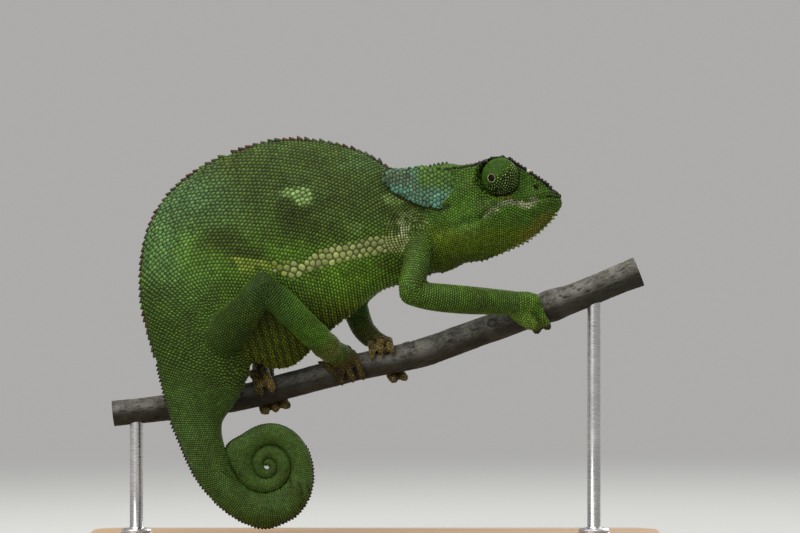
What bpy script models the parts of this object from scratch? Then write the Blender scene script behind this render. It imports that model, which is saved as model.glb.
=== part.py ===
"""Flap-necked chameleon, life size, gripping a cut length of branch on a plain display stand.

Lengths and places are in millimetres and turn into metres where a mesh is made.
The animal looks towards +X, its right side faces -Y, and the origin is at the
bottom centre of the stand's base.
"""

import math
import random

import bmesh
import bpy
from mathutils import Vector

MM = 0.001
GAP = 0.3
SEED = 11
SHARP_ANGLE = 50.0

# Stand
BASE_LENGTH = 176.0
BASE_WIDTH = 90.0
BASE_HEIGHT = 8.0
BASE_CORNER = 9.0
BASE_EDGE = 1.2
ROD_RADIUS = 2.0
ROD_FOOT_RADIUS = 5.0
ROD_FOOT_HEIGHT = 2.4
ROD_PLACES = {"stand_rod_rear": -72.0, "stand_rod_front": 66.0}

# Branch: X, Y, Z of its middle and its radius
BRANCH = [
    (-79.0, 1.6, 45.2, 3.8),
    (-63.0, 1.8, 46.9, 3.9),
    (-51.0, 2.1, 48.2, 3.8),
    (-40.0, 2.0, 50.1, 3.9),
    (-28.0, 1.9, 53.2, 3.9),
    (-16.0, 2.0, 56.4, 4.0),
    (-6.0, 2.1, 59.0, 4.0),
    (4.0, 2.1, 61.2, 4.1),
    (13.5, 1.9, 63.3, 4.3),
    (25.0, 1.8, 67.3, 4.2),
    (36.0, 2.0, 71.3, 4.3),
    (49.0, 2.2, 76.2, 4.3),
    (60.0, 2.1, 80.1, 4.4),
    (70.0, 1.9, 84.2, 4.4),
    (79.5, 1.8, 88.0, 4.5),
]
BRANCH_SIDES = 13
BRANCH_STEPS = 2

# Trunk: belly X and Z, back X and Z, half width and middle Y of each section
TRUNK = [
    (19.5, 87.9, 12.0, 117.9, 8.8, -2.8),
    (15.2, 86.3, 8.4, 118.0, 9.2, -3.2),
    (10.5, 84.9, 4.5, 118.8, 9.8, -3.6),
    (0.9, 81.6, -3.0, 123.3, 10.6, -4.4),
    (-6.0, 75.9, -12.0, 126.2, 11.2, -5.0),
    (-12.9, 70.5, -21.6, 127.5, 11.5, -5.0),
    (-18.9, 64.5, -31.5, 127.0, 11.5, -5.0),
    (-23.4, 60.3, -42.0, 124.0, 11.4, -5.0),
    (-27.3, 58.8, -52.5, 119.0, 11.2, -5.2),
    (-30.9, 59.1, -61.5, 111.5, 10.9, -5.6),
    (-33.9, 60.3, -67.5, 102.0, 10.5, -6.4),
    (-35.7, 60.9, -69.9, 90.9, 10.0, -7.4),
    (-36.9, 59.7, -69.9, 79.5, 9.4, -8.6),
    (-37.5, 56.7, -68.1, 71.1, 8.5, -9.8),
    (-39.3, 52.5, -65.4, 60.9, 7.4, -11.0),
    (-41.7, 48.3, -63.3, 52.2, 6.8, -11.8),
    (-45.0, 43.8, -61.2, 43.8, 6.4, -12.3),
    (-45.9, 39.9, -59.4, 39.3, 6.2, -12.6),
    (-45.3, 35.1, -57.3, 34.5, 5.8, -12.8),
]
NECK_END = 2
TORSO_END = 14
TAIL_BASE_END = 18
TRUNK_SIDES = 18
TRUNK_STEPS = 2
TRUNK_KEEL = 0.16
TRUNK_LEAF = 0.3

# Coil: where it turns, and the radius of the groove between turns at each quarter turn
COIL_X = -31.8
COIL_Z = 30.0
COIL_Y = -12.6
GROOVES = [0.6, 0.3, 0.1, 0.9, 1.4, 2.5, 2.65, 3.65, 4.55, 6.45, 6.9, 7.9, 10.4, 12.7, 13.2, 18.4]
GROOVE_FIRST = -5
TURN_GAP = 0.45
# Above the coil: quarter turns, outer radius and half thickness of each section
BEND = [(7.0, 23.4, 5.6), (6.86, 21.3, 5.4), (6.7, 19.5, 5.2), (6.5, 18.5, 5.0), (6.25, 18.2, 4.9)]
COIL_START = 6.0
COIL_CUTS = [6.0, 4.6, 3.2, 1.6, -0.6, -4.2]
TIP_ROUND = 0.35
COIL_FLAT = 0.92
TAIL_SIDES = 12

# Head: X, lean, ridge top Z, side ridge Z and half width, cheek and lip half widths
HEAD_Y = -2.6
LEAN_Z = 104.0
HEAD = [
    (56.0, 0.0, 111.1, 110.9, 0.7, 0.9, 1.1),
    (54.9, 0.0, 111.8, 111.7, 1.6, 2.0, 2.5),
    (53.1, 0.0, 113.0, 113.1, 2.7, 3.1, 3.7),
    (51.0, 0.0, 114.9, 115.1, 3.7, 4.0, 4.8),
    (48.3, 0.0, 116.6, 117.0, 4.6, 4.8, 5.8),
    (45.3, 0.0, 118.4, 118.9, 5.5, 5.5, 6.8),
    (42.0, 0.0, 120.4, 121.0, 6.5, 6.0, 7.8),
    (39.0, 0.0, 121.6, 122.2, 7.2, 6.4, 8.6),
    (36.0, 0.0, 121.9, 122.2, 7.4, 6.8, 9.2),
    (33.0, 0.0, 121.6, 121.2, 7.3, 7.6, 9.7),
    (30.0, 0.0, 121.1, 120.5, 7.0, 8.7, 10.1),
    (27.0, -0.05, 120.9, 119.9, 6.8, 9.4, 10.3),
    (24.0, -0.12, 120.7, 119.3, 6.7, 9.7, 10.1),
    (20.0, -0.2, 119.9, 118.0, 6.4, 9.5, 9.8),
    (15.9, -0.25, 118.4, 116.0, 5.4, 8.9, 9.2),
]
HEAD_STEPS = 2
MOUTH = [
    (56.1, 110.1), (51.9, 110.5), (49.6, 110.0), (46.2, 109.1), (41.6, 108.9), (38.3, 108.0),
    (35.4, 106.6), (33.3, 104.8), (30.0, 103.4), (24.0, 101.6), (10.0, 99.0),
]
THROAT = [
    (56.5, 107.8), (54.9, 105.6), (53.1, 103.2), (51.0, 101.1), (48.3, 98.7), (45.3, 96.6),
    (42.0, 95.0), (39.0, 93.6), (36.0, 92.4), (33.0, 91.2), (30.0, 90.8), (27.0, 90.4),
    (24.0, 89.4), (20.0, 88.1),
]

# Eye turrets: middle, radius and the way each one looks
TURRET_X = 37.7
TURRET_Z = 116.4
TURRET_OUT = 6.6
TURRET_PROFILE = [
    (0.0, -3.4), (4.6, -2.9), (5.5, -1.2), (5.7, 0.4), (5.35, 2.1), (4.4, 3.7), (3.1, 4.8),
    (2.0, 5.4), (1.6, 5.35), (1.6, 4.2), (0.0, 3.6),
]
SOCKET_TOP = (0.0, 5.6)
EYE_PROFILE = [(0.0, 3.95), (1.1, 4.35), (1.3, 4.9), (1.1, 5.35), (0.6, 5.7), (0.0, 5.85)]
TURRET_SIDES = 14
LOOKS = {"right": (-0.54, -0.83, -0.09), "left": (0.35, 0.93, 0.05)}

# Nostril
NOSTRIL_X = 48.4
NOSTRIL_Z = 113.2
NOSTRIL_SIDE = 4.95
NOSTRIL_HOLE = [(0.0, -1.3), (0.5, -0.8), (0.5, 1.2), (0.0, 1.6)]
NOSTRIL_TURN = (-0.25, 0.1)

# Occipital flaps: X, top Z, bottom Z, distance from the middle of the head
FLAP = [
    (2.6, 118.0, 115.6, 9.6),
    (4.4, 118.8, 113.2, 9.9),
    (7.0, 118.6, 111.4, 10.0),
    (10.0, 118.8, 109.8, 10.0),
    (13.0, 119.3, 108.3, 9.9),
    (16.5, 119.1, 107.4, 9.6),
    (19.5, 118.8, 107.2, 9.2),
    (22.0, 117.6, 108.0, 8.8),
    (23.6, 115.0, 110.2, 8.4),
]
FLAP_HALF = 0.75
FLAP_BOW = 0.5
FLAP_OUTLINE = [
    (-1.0, 0.0), (-0.8, 0.8), (0.0, 1.0), (0.8, 0.8), (1.0, 0.0), (0.8, -0.8), (0.0, -1.0), (-0.8, -0.8),
]
FLAP_END_SIZE = 0.6
FLAP_END_REACH = 0.25

# Legs: X, Y, Z, half width across the leg as seen from the side, half thickness
LEGS = {
    "right_foreleg": {
        "upper": [(13.4, -8.0, 99.0, 4.6, 4.2), (12.6, -12.6, 92.5, 4.2, 3.9), (11.2, -17.2, 84.6, 4.2, 3.8),
                  (10.9, -18.0, 81.8, 4.0, 3.7)],
        "lower": [(11.0, -17.8, 81.6, 3.9, 3.6), (17.5, -16.0, 80.6, 4.2, 3.8), (27.0, -12.8, 79.8, 4.1, 3.7),
                  (36.0, -9.0, 79.4, 3.7, 3.4), (42.0, -6.4, 78.8, 3.5, 3.2)],
        "foot": [(41.4, -6.6, 78.9, 3.3, 3.0), (44.2, -5.4, 78.9, 3.5, 3.0), (47.6, -3.9, 79.2, 3.1, 2.9)],
    },
    "right_hindleg": {
        "upper": [(-49.5, -12.0, 64.0, 6.4, 5.2), (-43.5, -16.0, 70.0, 6.0, 5.0),
                  (-37.0, -19.6, 78.2, 5.0, 4.4), (-33.2, -20.6, 83.6, 4.6, 4.0)],
        "lower": [(-33.0, -20.4, 83.6, 4.3, 3.9), (-27.6, -19.6, 78.8, 4.5, 3.9),
                  (-21.4, -16.6, 72.6, 4.4, 3.8), (-15.6, -11.4, 66.8, 4.3, 3.8),
                  (-12.8, -8.0, 64.2, 4.2, 3.6)],
        "foot": [(-13.0, -8.4, 64.5, 3.9, 3.5), (-10.6, -5.4, 63.0, 3.8, 3.3), (-8.2, -3.2, 62.3, 3.2, 3.0)],
    },
    "left_foreleg": {
        "upper": [(12.6, -1.0, 96.0, 4.4, 4.0), (5.0, 6.6, 90.0, 4.1, 3.8), (-2.6, 11.6, 83.4, 4.0, 3.7),
                  (-6.4, 12.8, 80.0, 3.9, 3.6)],
        "lower": [(-6.4, 12.8, 80.0, 3.8, 3.5), (-5.6, 12.0, 75.4, 4.0, 3.6), (-3.6, 10.4, 70.6, 3.7, 3.4),
                  (-0.8, 8.8, 67.6, 3.4, 3.2)],
        "foot": [(-1.4, 9.0, 68.0, 3.1, 2.9), (0.8, 7.8, 66.8, 3.1, 2.8), (3.0, 6.5, 65.8, 2.9, 2.7)],
    },
    "left_hindleg": {
        "upper": [(-45.0, -5.0, 66.0, 6.0, 5.0), (-38.0, 4.0, 71.6, 5.4, 4.6), (-30.6, 10.6, 77.6, 4.7, 4.2),
                  (-27.0, 12.2, 80.6, 4.3, 4.0)],
        "lower": [(-27.0, 12.2, 80.6, 4.1, 3.8), (-28.6, 11.8, 74.4, 4.3, 3.8), (-31.4, 10.2, 67.0, 4.2, 3.7),
                  (-33.8, 8.0, 60.6, 3.9, 3.5)],
        "foot": [(-33.6, 8.2, 61.2, 3.6, 3.3), (-34.0, 7.2, 58.6, 3.6, 3.2), (-33.6, 6.2, 56.8, 3.3, 3.0)],
    },
}
LIMB_SIDES = 11
LIMB_STEPS = 2
LIMB_ROUNDS = [(0.45, 0.86), (0.8, 0.45)]

# Feet: X on the branch, then for each bundle its toes, the angles round the branch from
# its top towards the near side, how far the toes run along the branch, and their radius
FEET = {
    "right_foreleg": {
        "at": 48.2,
        "outer_toes": {"toes": 2, "from": 62, "to": 150, "along": (0.2, 1.0), "pitch": 3.0, "radius": 1.75},
        "inner_toes": {"toes": 3, "from": 22, "to": -88, "along": (-2.8, -3.2), "pitch": 2.4, "radius": 1.45},
    },
    "right_hindleg": {
        "at": -7.8,
        "outer_toes": {"toes": 3, "from": 62, "to": 140, "along": (0.2, 0.4), "pitch": 2.5, "radius": 1.45},
        "inner_toes": {"toes": 2, "from": 18, "to": -88, "along": (-0.2, -0.6), "pitch": 2.6, "radius": 1.5},
    },
    "left_foreleg": {
        "at": 3.2,
        "inner_toes": {"toes": 3, "from": -14, "to": 62, "along": (-0.4, -0.6), "pitch": 2.6, "radius": 1.4},
        "outer_toes": {"toes": 2, "from": -62, "to": -170, "along": (0.6, 3.4), "pitch": 2.5, "radius": 1.4},
    },
    "left_hindleg": {
        "at": -33.4,
        "inner_toes": {"toes": 2, "from": -10, "to": 82, "along": (0.0, 0.8), "pitch": 3.2, "radius": 1.75},
        "outer_toes": {"toes": 3, "from": -66, "to": -172, "along": (1.2, 4.4), "pitch": 2.5, "radius": 1.4},
    },
}
TOE_SIDES = 7
TOE_STEP = 24.0
TOE_CLEAR = 0.42
TOE_ROUNDS = [(0.45, 0.85), (0.8, 0.5)]
TOE_DROOP = 0.1
TOE_TAPER = 0.14
TOE_SPLAY = 0.12
CLAW_LENGTH = 2.2
CLAW_RADIUS = 0.62
CLAW_SIDES = 5
CLAW_FLAT = 0.8
CLAW_ROOT = (0.35, 0.15)
CLAW_BEND = 0.85
CLAW_TAPER = [(0.0, 1.0), (0.4, 0.72), (0.75, 0.42), (1.0, 0.12)]

# Crests: spacing, height and width of their teeth, from front to rear
BACK_CREST = {"pitch": (2.5, 2.2), "height": (1.0, 0.8), "width": (0.75, 0.6), "lean": 0.7}
TAIL_CREST = {"pitch": (2.1, 1.8), "height": (0.65, 0.5), "width": (0.5, 0.45), "lean": 0.6}
BELLY_CREST = {"pitch": (2.4, 2.4), "height": (0.6, 0.5), "width": (0.5, 0.45), "lean": 0.2}
THROAT_CREST = {"pitch": (1.9, 2.1), "height": (1.15, 0.75), "width": (0.55, 0.45), "lean": -0.1}
RIDGE_CREST = {"pitch": (2.2, 2.4), "height": (0.45, 0.5), "width": (0.6, 0.6), "lean": 0.1}
CREST_SINK = 0.7
TOOTH_SHARE = 0.42
TOOTH_SWAY = 0.12

# Finishes: colour, roughness and metallic value
FINISHES = {
    "skin_green": ((0.075, 0.16, 0.045), 0.62, 0.0),
    "skin_olive": ((0.09, 0.13, 0.04), 0.64, 0.0),
    "skin_turquoise": ((0.085, 0.2, 0.14), 0.6, 0.0),
    "skin_brown": ((0.11, 0.08, 0.045), 0.66, 0.0),
    "skin_lids": ((0.07, 0.16, 0.03), 0.58, 0.0),
    "eye_dark": ((0.012, 0.01, 0.008), 0.08, 0.0),
    "bark": ((0.12, 0.1, 0.085), 0.85, 0.0),
    "base_wood": ((0.42, 0.27, 0.15), 0.5, 0.0),
    "rod_steel": ((0.55, 0.55, 0.56), 0.3, 1.0),
}


def clear_scene():
    """Removes what the file opened with."""
    for item in list(bpy.data.objects):
        bpy.data.objects.remove(item, do_unlink=True)


def finish_of(label, name):
    """The named finish as a material of one node's own."""
    colour, roughness, metallic = FINISHES[label]
    material = bpy.data.materials.new(f"{name}_{label}")
    material.use_nodes = True
    shader = material.node_tree.nodes["Principled BSDF"]
    shader.inputs["Base Color"].default_value = (*colour, 1.0)
    shader.inputs["Roughness"].default_value = roughness
    shader.inputs["Metallic"].default_value = metallic
    return material


def add_object(name, mesh, label=None):
    """Puts a mesh in the scene, with its finish if it is a piece of the model."""
    item = bpy.data.objects.new(name, mesh)
    bpy.context.collection.objects.link(item)
    if label:
        mesh.materials.append(finish_of(label, name))
    return item


def loft(name, rings, label=None):
    """One closed body through rings of equal length, with a flat face at each end."""
    form = bmesh.new()
    rows = [[form.verts.new(point * MM) for point in ring] for ring in rings]
    count = len(rings[0])
    for row, after in zip(rows, rows[1:]):
        for i in range(count):
            j = (i + 1) % count
            form.faces.new((row[i], row[j], after[j], after[i]))
    form.faces.new(rows[0])
    form.faces.new(rows[-1][::-1])
    bmesh.ops.recalc_face_normals(form, faces=form.faces)
    mesh = bpy.data.meshes.new(name)
    form.to_mesh(mesh)
    form.free()
    mesh.shade_smooth()
    mesh.set_sharp_from_angle(angle=math.radians(SHARP_ANGLE))
    return add_object(name, mesh, label)


def turned(name, profile, place, axis, sides, label=None, grow=0.0):
    """A profile of radius and height turned round an axis through a place."""
    axis = Vector(axis).normalized()
    across = axis.orthogonal().normalized()
    up = axis.cross(across)
    place = Vector(place)
    form = bmesh.new()
    rows = []
    for index, (radius, height) in enumerate(profile):
        if radius == 0.0:
            shift = grow if index else -grow
            rows.append([form.verts.new((place + axis * (height + shift)) * MM)])
            continue
        row = []
        for i in range(sides):
            turn = 2 * math.pi * i / sides
            out = across * math.cos(turn) + up * math.sin(turn)
            row.append(form.verts.new((place + axis * height + out * (radius + grow)) * MM))
        rows.append(row)
    for row, after in zip(rows, rows[1:]):
        for i in range(sides):
            j = (i + 1) % sides
            if len(row) == 1:
                form.faces.new((row[0], after[j], after[i]))
            elif len(after) == 1:
                form.faces.new((row[i], row[j], after[0]))
            else:
                form.faces.new((row[i], row[j], after[j], after[i]))
    bmesh.ops.recalc_face_normals(form, faces=form.faces)
    mesh = bpy.data.meshes.new(name)
    form.to_mesh(mesh)
    form.free()
    mesh.shade_smooth()
    mesh.set_sharp_from_angle(angle=math.radians(SHARP_ANGLE))
    return add_object(name, mesh, label)


def keep_largest(item):
    """Leaves only the largest closed surface of a mesh."""
    form = bmesh.new()
    form.from_mesh(item.data)
    form.faces.ensure_lookup_table()
    seen = set()
    shells = []
    for start in form.faces:
        if start.index in seen:
            continue
        seen.add(start.index)
        shell = [start]
        for face in shell:
            for edge in face.edges:
                for other in edge.link_faces:
                    if other.index not in seen:
                        seen.add(other.index)
                        shell.append(other)
        shells.append(shell)
    if len(shells) > 1:
        shells.sort(key=lambda shell: sum(face.calc_area() for face in shell))
        drop = [face for shell in shells[:-1] for face in shell]
        bmesh.ops.delete(form, geom=drop, context="FACES")
        form.to_mesh(item.data)
    form.free()


def combine(item, others, operation):
    """Joins closed bodies to an object, or cuts them from it, in one Boolean."""
    group = bpy.data.collections.new(f"{item.name}_{operation}")
    for other in others:
        group.objects.link(other)
    step = item.modifiers.new(operation, "BOOLEAN")
    step.operation = operation
    step.operand_type = "COLLECTION"
    step.collection = group
    step.solver = "EXACT"
    bpy.context.view_layer.update()
    result = item.evaluated_get(bpy.context.evaluated_depsgraph_get())
    mesh = bpy.data.meshes.new_from_object(result)
    item.modifiers.remove(step)
    item.data = mesh
    for other in others:
        bpy.data.objects.remove(other, do_unlink=True)
    bpy.data.collections.remove(group)
    keep_largest(item)
    return item


def between(table, x):
    """The second value of a table at x, read along straight lines."""
    table = sorted(table)
    if x <= table[0][0]:
        return table[0][1]
    for (x0, z0), (x1, z1) in zip(table, table[1:]):
        if x <= x1:
            return z0 + (z1 - z0) * (x - x0) / (x1 - x0)
    return table[-1][1]


def smooth_rows(rows, steps):
    """Rows of numbers on a curve through the given rows, with steps to each span."""
    ends = [rows[0], *rows, rows[-1]]
    result = []
    for i in range(len(rows) - 1):
        a, b, c, d = ends[i:i + 4]
        for k in range(steps):
            t = k / steps
            result.append(tuple(
                0.5 * (2 * q + (r - p) * t + (2 * p - 5 * q + 4 * r - s) * t * t
                       + (3 * q - p - 3 * r + s) * t ** 3)
                for p, q, r, s in zip(a, b, c, d)
            ))
    result.append(tuple(rows[-1]))
    return result


def mix_rows(row, other, share):
    """A row part of the way to another one."""
    return tuple(a + (b - a) * share for a, b in zip(row, other))


def section(row, sides, keel, leaf, grow=0.0):
    """The ring of one trunk section: narrower towards the back and the belly."""
    belly = Vector((row[0], row[5], row[1]))
    back = Vector((row[2], row[5], row[3]))
    middle = (belly + back) / 2
    up = (back - belly) / 2
    up = up * (1 + grow / up.length)
    width = row[4] + grow
    ring = []
    for i in range(sides):
        turn = 2 * math.pi * i / sides
        sine = math.sin(turn)
        side = width * sine * (1 - keel * math.cos(turn)) * (1 - leaf * (1 - abs(sine)))
        ring.append(middle + up * math.cos(turn) + Vector((0.0, side, 0.0)))
    return ring


def row_middle(row):
    """The middle of one trunk section."""
    return Vector(((row[0] + row[2]) / 2, row[5], (row[1] + row[3]) / 2))


def parted(rows, last_cut):
    """Rows with half the gap taken off each end that meets another piece."""
    rows = list(rows)
    for here, inner in ((0, 1), (-1, -2)) if last_cut else ((0, 1),):
        length = (row_middle(rows[here]) - row_middle(rows[inner])).length
        rows[here] = mix_rows(rows[here], rows[inner], GAP / 2 / length)
    return rows


def groove(turn):
    """The radius of the coil's groove at a number of quarter turns."""
    place = turn - GROOVE_FIRST
    index = max(0, min(len(GROOVES) - 2, math.floor(place)))
    t = place - index
    ends = [GROOVES[0], *GROOVES, GROOVES[-1]]
    p, q, r, s = ends[index:index + 4]
    return 0.5 * (2 * q + (r - p) * t + (2 * p - 5 * q + 4 * r - s) * t * t
                  + (3 * q - p - 3 * r + s) * t ** 3)


def coil_row(turn, outer=None, half=None):
    """The tail's section in the coil, between one groove and the next one out."""
    angle = math.radians(90.0 * turn)
    inner = groove(turn) + TURN_GAP / 2
    outer = outer or groove(turn + 4) - TURN_GAP / 2
    half = half or (outer - inner) / 2 * COIL_FLAT
    return (
        COIL_X + inner * math.sin(angle), COIL_Z + inner * math.cos(angle),
        COIL_X + outer * math.sin(angle), COIL_Z + outer * math.cos(angle),
        half, COIL_Y,
    )


def coil_rows(start, stop):
    """The tail's sections from one place in the coil to another."""
    count = max(3, round(abs(start - stop) * 5))
    return [coil_row(start + (stop - start) * k / count) for k in range(count + 1)]


def tooth(root, out, along, height, half_length, half_width, lean):
    """One four-sided tooth with its root sunk into what it grows from."""
    out = out.normalized()
    along = along.normalized()
    side = out.cross(along).normalized()
    spread = (height + CREST_SINK) / height
    base = root - out * CREST_SINK
    corners = [
        base + along * half_length * spread,
        base + side * half_width * spread,
        base - along * half_length * spread,
        base - side * half_width * spread,
    ]
    form = bmesh.new()
    foot = [form.verts.new(point * MM) for point in corners]
    tip = form.verts.new((root + out * height + along * (lean * height)) * MM)
    form.faces.new(foot)
    for i in range(4):
        form.faces.new((foot[i], foot[(i + 1) % 4], tip))
    bmesh.ops.recalc_face_normals(form, faces=form.faces)
    mesh = bpy.data.meshes.new("tooth")
    form.to_mesh(mesh)
    form.free()
    return add_object("tooth", mesh)


def crest(line, normal_turn, sizes, draw):
    """Teeth along a line in the X and Z plane, spaced and sized from its start to its end."""
    teeth = []
    margin = sizes["pitch"][0] * TOOTH_SHARE * (1 + CREST_SINK / sizes["height"][0]) + GAP
    lengths = [(b - a).length for a, b in zip(line, line[1:])]
    total = sum(lengths)
    walked = margin
    while walked < total - margin:
        share = walked / total
        rest = walked
        index = 0
        while index < len(lengths) - 1 and rest > lengths[index]:
            rest -= lengths[index]
            index += 1
        start, end = line[index], line[index + 1]
        along = (end - start).normalized()
        root = start + along * rest
        out = Vector((along.z, 0.0, -along.x)) * normal_turn
        pitch, height, width = (
            sizes[key][0] + (sizes[key][1] - sizes[key][0]) * share for key in ("pitch", "height", "width")
        )
        height *= draw.uniform(0.85, 1.15)
        out.y += draw.uniform(-TOOTH_SWAY, TOOTH_SWAY)
        root.y += draw.uniform(-TOOTH_SWAY, TOOTH_SWAY)
        along.y += draw.uniform(-TOOTH_SWAY, TOOTH_SWAY)
        teeth.append(tooth(root, out, along, height, pitch * TOOTH_SHARE, width, sizes["lean"]))
        walked += pitch
    return teeth


def back_line(rows):
    """The line along the back of some trunk sections."""
    return [Vector((row[2], row[5], row[3])) for row in rows]


def belly_line(rows):
    """The line along the belly of some trunk sections."""
    return [Vector((row[0], row[5], row[1])) for row in rows]


def trunk_piece(name, rows, sides, keel=0.0, leaf=0.0, last_cut=True):
    """One length of the neck, torso or tail."""
    return loft(name, [section(row, sides, keel, leaf) for row in parted(rows, last_cut)], "skin_green")


def torso_cutter():
    """The neck and torso with a gap's room round them."""
    rows = smooth_rows(TRUNK[:TORSO_END + 1], TRUNK_STEPS)
    return loft("torso_cutter", [section(row, TRUNK_SIDES, TRUNK_KEEL, TRUNK_LEAF, GAP) for row in rows])


def build_torso(draw):
    """The torso, with the crests along its back and belly."""
    rows = smooth_rows(TRUNK[NECK_END:TORSO_END + 1], TRUNK_STEPS)
    torso = trunk_piece("torso", rows, TRUNK_SIDES, TRUNK_KEEL, TRUNK_LEAF)
    teeth = crest(back_line(rows), 1, BACK_CREST, draw)
    teeth += crest(belly_line(rows), -1, BELLY_CREST, draw)
    combine(torso, teeth, "UNION")


def build_neck(draw):
    """The neck, between the head and the shoulders."""
    rows = smooth_rows(TRUNK[:NECK_END + 1], TRUNK_STEPS)
    neck = trunk_piece("neck", rows, TRUNK_SIDES, TRUNK_KEEL, TRUNK_LEAF)
    teeth = crest(back_line(rows), 1, BACK_CREST, draw)
    teeth += crest(belly_line(rows), -1, BELLY_CREST, draw)
    combine(neck, teeth, "UNION")


def build_tail(draw):
    """The tail in lengths, from its base to the tip in the middle of the coil."""
    pieces = [
        ("tail_base", TRUNK[TORSO_END:TAIL_BASE_END + 1]),
        ("tail_bend", [TRUNK[TAIL_BASE_END], *(coil_row(*place) for place in BEND), coil_row(COIL_START)]),
    ]
    for number, (start, stop) in enumerate(zip(COIL_CUTS, COIL_CUTS[1:]), 1):
        pieces.append((f"tail_coil_{number}", coil_rows(start, stop)))
    for name, rows in pieces:
        tip = name == pieces[-1][0]
        if tip:
            end = rows[-1]
            middle = ((end[0] + end[2]) / 2, (end[1] + end[3]) / 2) * 2
            point = (*middle, 0.0, end[5])
            rows[-1] = mix_rows(end, point, TIP_ROUND)
        piece = trunk_piece(name, rows, TAIL_SIDES, last_cut=not tip)
        if name in ("tail_base", "tail_bend", "tail_coil_1", "tail_coil_2"):
            combine(piece, crest(back_line(rows), 1, TAIL_CREST, draw), "UNION")


def head_rows():
    """The head's stations with some between them, front to rear."""
    return smooth_rows(HEAD, HEAD_STEPS)


def skull_ring(row, grow=0.0):
    """The ring of one head station above the mouth."""
    x, lean, z_top, z_ridge, w_ridge, w_cheek, w_lip = row
    z_mouth = between(MOUTH, x)
    rise = z_ridge - z_mouth
    half = [
        (w_lip * 0.97, z_mouth - grow),
        (w_lip + 0.15, z_mouth + rise * 0.14),
        (w_lip * 0.4 + w_cheek * 0.6, z_mouth + rise * 0.34),
        (w_cheek, z_mouth + rise * 0.58),
        (w_cheek * 0.4 + w_ridge * 0.6, z_mouth + rise * 0.82),
        (w_ridge, z_ridge),
        (w_ridge * 0.5, z_ridge * 0.45 + z_top * 0.55 + grow),
    ]
    points = [(0.0, z_mouth - grow)]
    points += [(w + grow, z) for w, z in half]
    points += [(0.0, z_top + grow)]
    points += [(-w - grow, z) for w, z in reversed(half)]
    return [Vector((x + lean * (z - LEAN_Z), HEAD_Y + y, z)) for y, z in points]


def jaw_ring(row, grow=0.0):
    """The ring of one head station below the mouth, down to the throat."""
    x, lean, w_lip = row[0], row[1], row[6]
    top = between(MOUTH, x) - GAP
    low = between(THROAT, x + lean * (90.0 - LEAN_Z))
    drop = top - low
    half = [
        (w_lip * 0.96, top + grow),
        (w_lip, top - drop * 0.16),
        (w_lip * 0.93, top - drop * 0.36),
        (w_lip * 0.74, top - drop * 0.6),
        (w_lip * 0.44, top - drop * 0.84),
    ]
    points = [(0.0, top + grow)]
    points += [(w + grow, z) for w, z in half]
    points += [(0.0, low - grow)]
    points += [(-w - grow, z) for w, z in reversed(half)]
    return [Vector((x + lean * (z - LEAN_Z), HEAD_Y + y, z)) for y, z in points]


def head_cutter():
    """The skull and jaw with a gap's room round them."""
    skull = loft("skull_cutter", [skull_ring(row, GAP) for row in head_rows()])
    jaw = loft("jaw_cutter", [jaw_ring(row, GAP) for row in head_rows()])
    return [skull, jaw]


def side_of(name):
    """Which way from the middle a side lies: the right side is towards -Y."""
    return -1.0 if name.startswith("right") else 1.0


def turret_place(side):
    """The middle of one eye turret."""
    return Vector((TURRET_X, HEAD_Y + side_of(side) * TURRET_OUT, TURRET_Z))


def build_head(draw):
    """The skull with its ridges, sockets and nostrils."""
    head = loft("head", [skull_ring(row) for row in head_rows()], "skin_green")
    teeth = []
    for side in (-1, 1):
        ridge = [Vector((row[0], HEAD_Y + side * row[4], row[3])) for row in HEAD[3:13]]
        teeth += crest(ridge, 1, RIDGE_CREST, draw)
    middle = [Vector((row[0] + row[1] * (row[2] - LEAN_Z), HEAD_Y, row[2])) for row in HEAD[9:]]
    teeth += crest(middle, 1, RIDGE_CREST, draw)
    combine(head, teeth, "UNION")
    cutters = []
    for side, look in LOOKS.items():
        cutters.append(turned("socket", TURRET_PROFILE[:8] + [SOCKET_TOP], turret_place(side), look,
                              TURRET_SIDES, grow=GAP))
        out = (NOSTRIL_TURN[0], side_of(side), NOSTRIL_TURN[1])
        mouth = (NOSTRIL_X, HEAD_Y + side_of(side) * NOSTRIL_SIDE, NOSTRIL_Z)
        cutters.append(turned("nostril", NOSTRIL_HOLE, mouth, out, 6))
    combine(head, cutters, "DIFFERENCE")


def build_jaw(draw):
    """The lower jaw and throat pouch, with the pale cones under it."""
    jaw = loft("lower_jaw", [jaw_ring(row) for row in head_rows()], "skin_green")
    line = [Vector((x, HEAD_Y, z)) for x, z in THROAT[1:]]
    combine(jaw, crest(line, -1, THROAT_CREST, draw), "UNION")


def build_eyes():
    """Each eye turret of fused lids, and the eye in its opening."""
    for side, look in LOOKS.items():
        place = turret_place(side)
        turned(f"eyelid_turret_{side}", TURRET_PROFILE, place, look, TURRET_SIDES, "skin_lids")
        turned(f"eye_{side}", EYE_PROFILE, place, look, 12, "eye_dark")


def flap_ring(row, side):
    """The ring of one section across an occipital flap, thin at its edges."""
    x, top, low, out = row
    middle = (top + low) / 2
    half = (top - low) / 2
    ring = []
    for level, bulge in FLAP_OUTLINE:
        bow = FLAP_BOW * (1 - level * level)
        ring.append(Vector((x, HEAD_Y + side * (out + bow + FLAP_HALF * bulge), middle + half * level)))
    return ring


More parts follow.
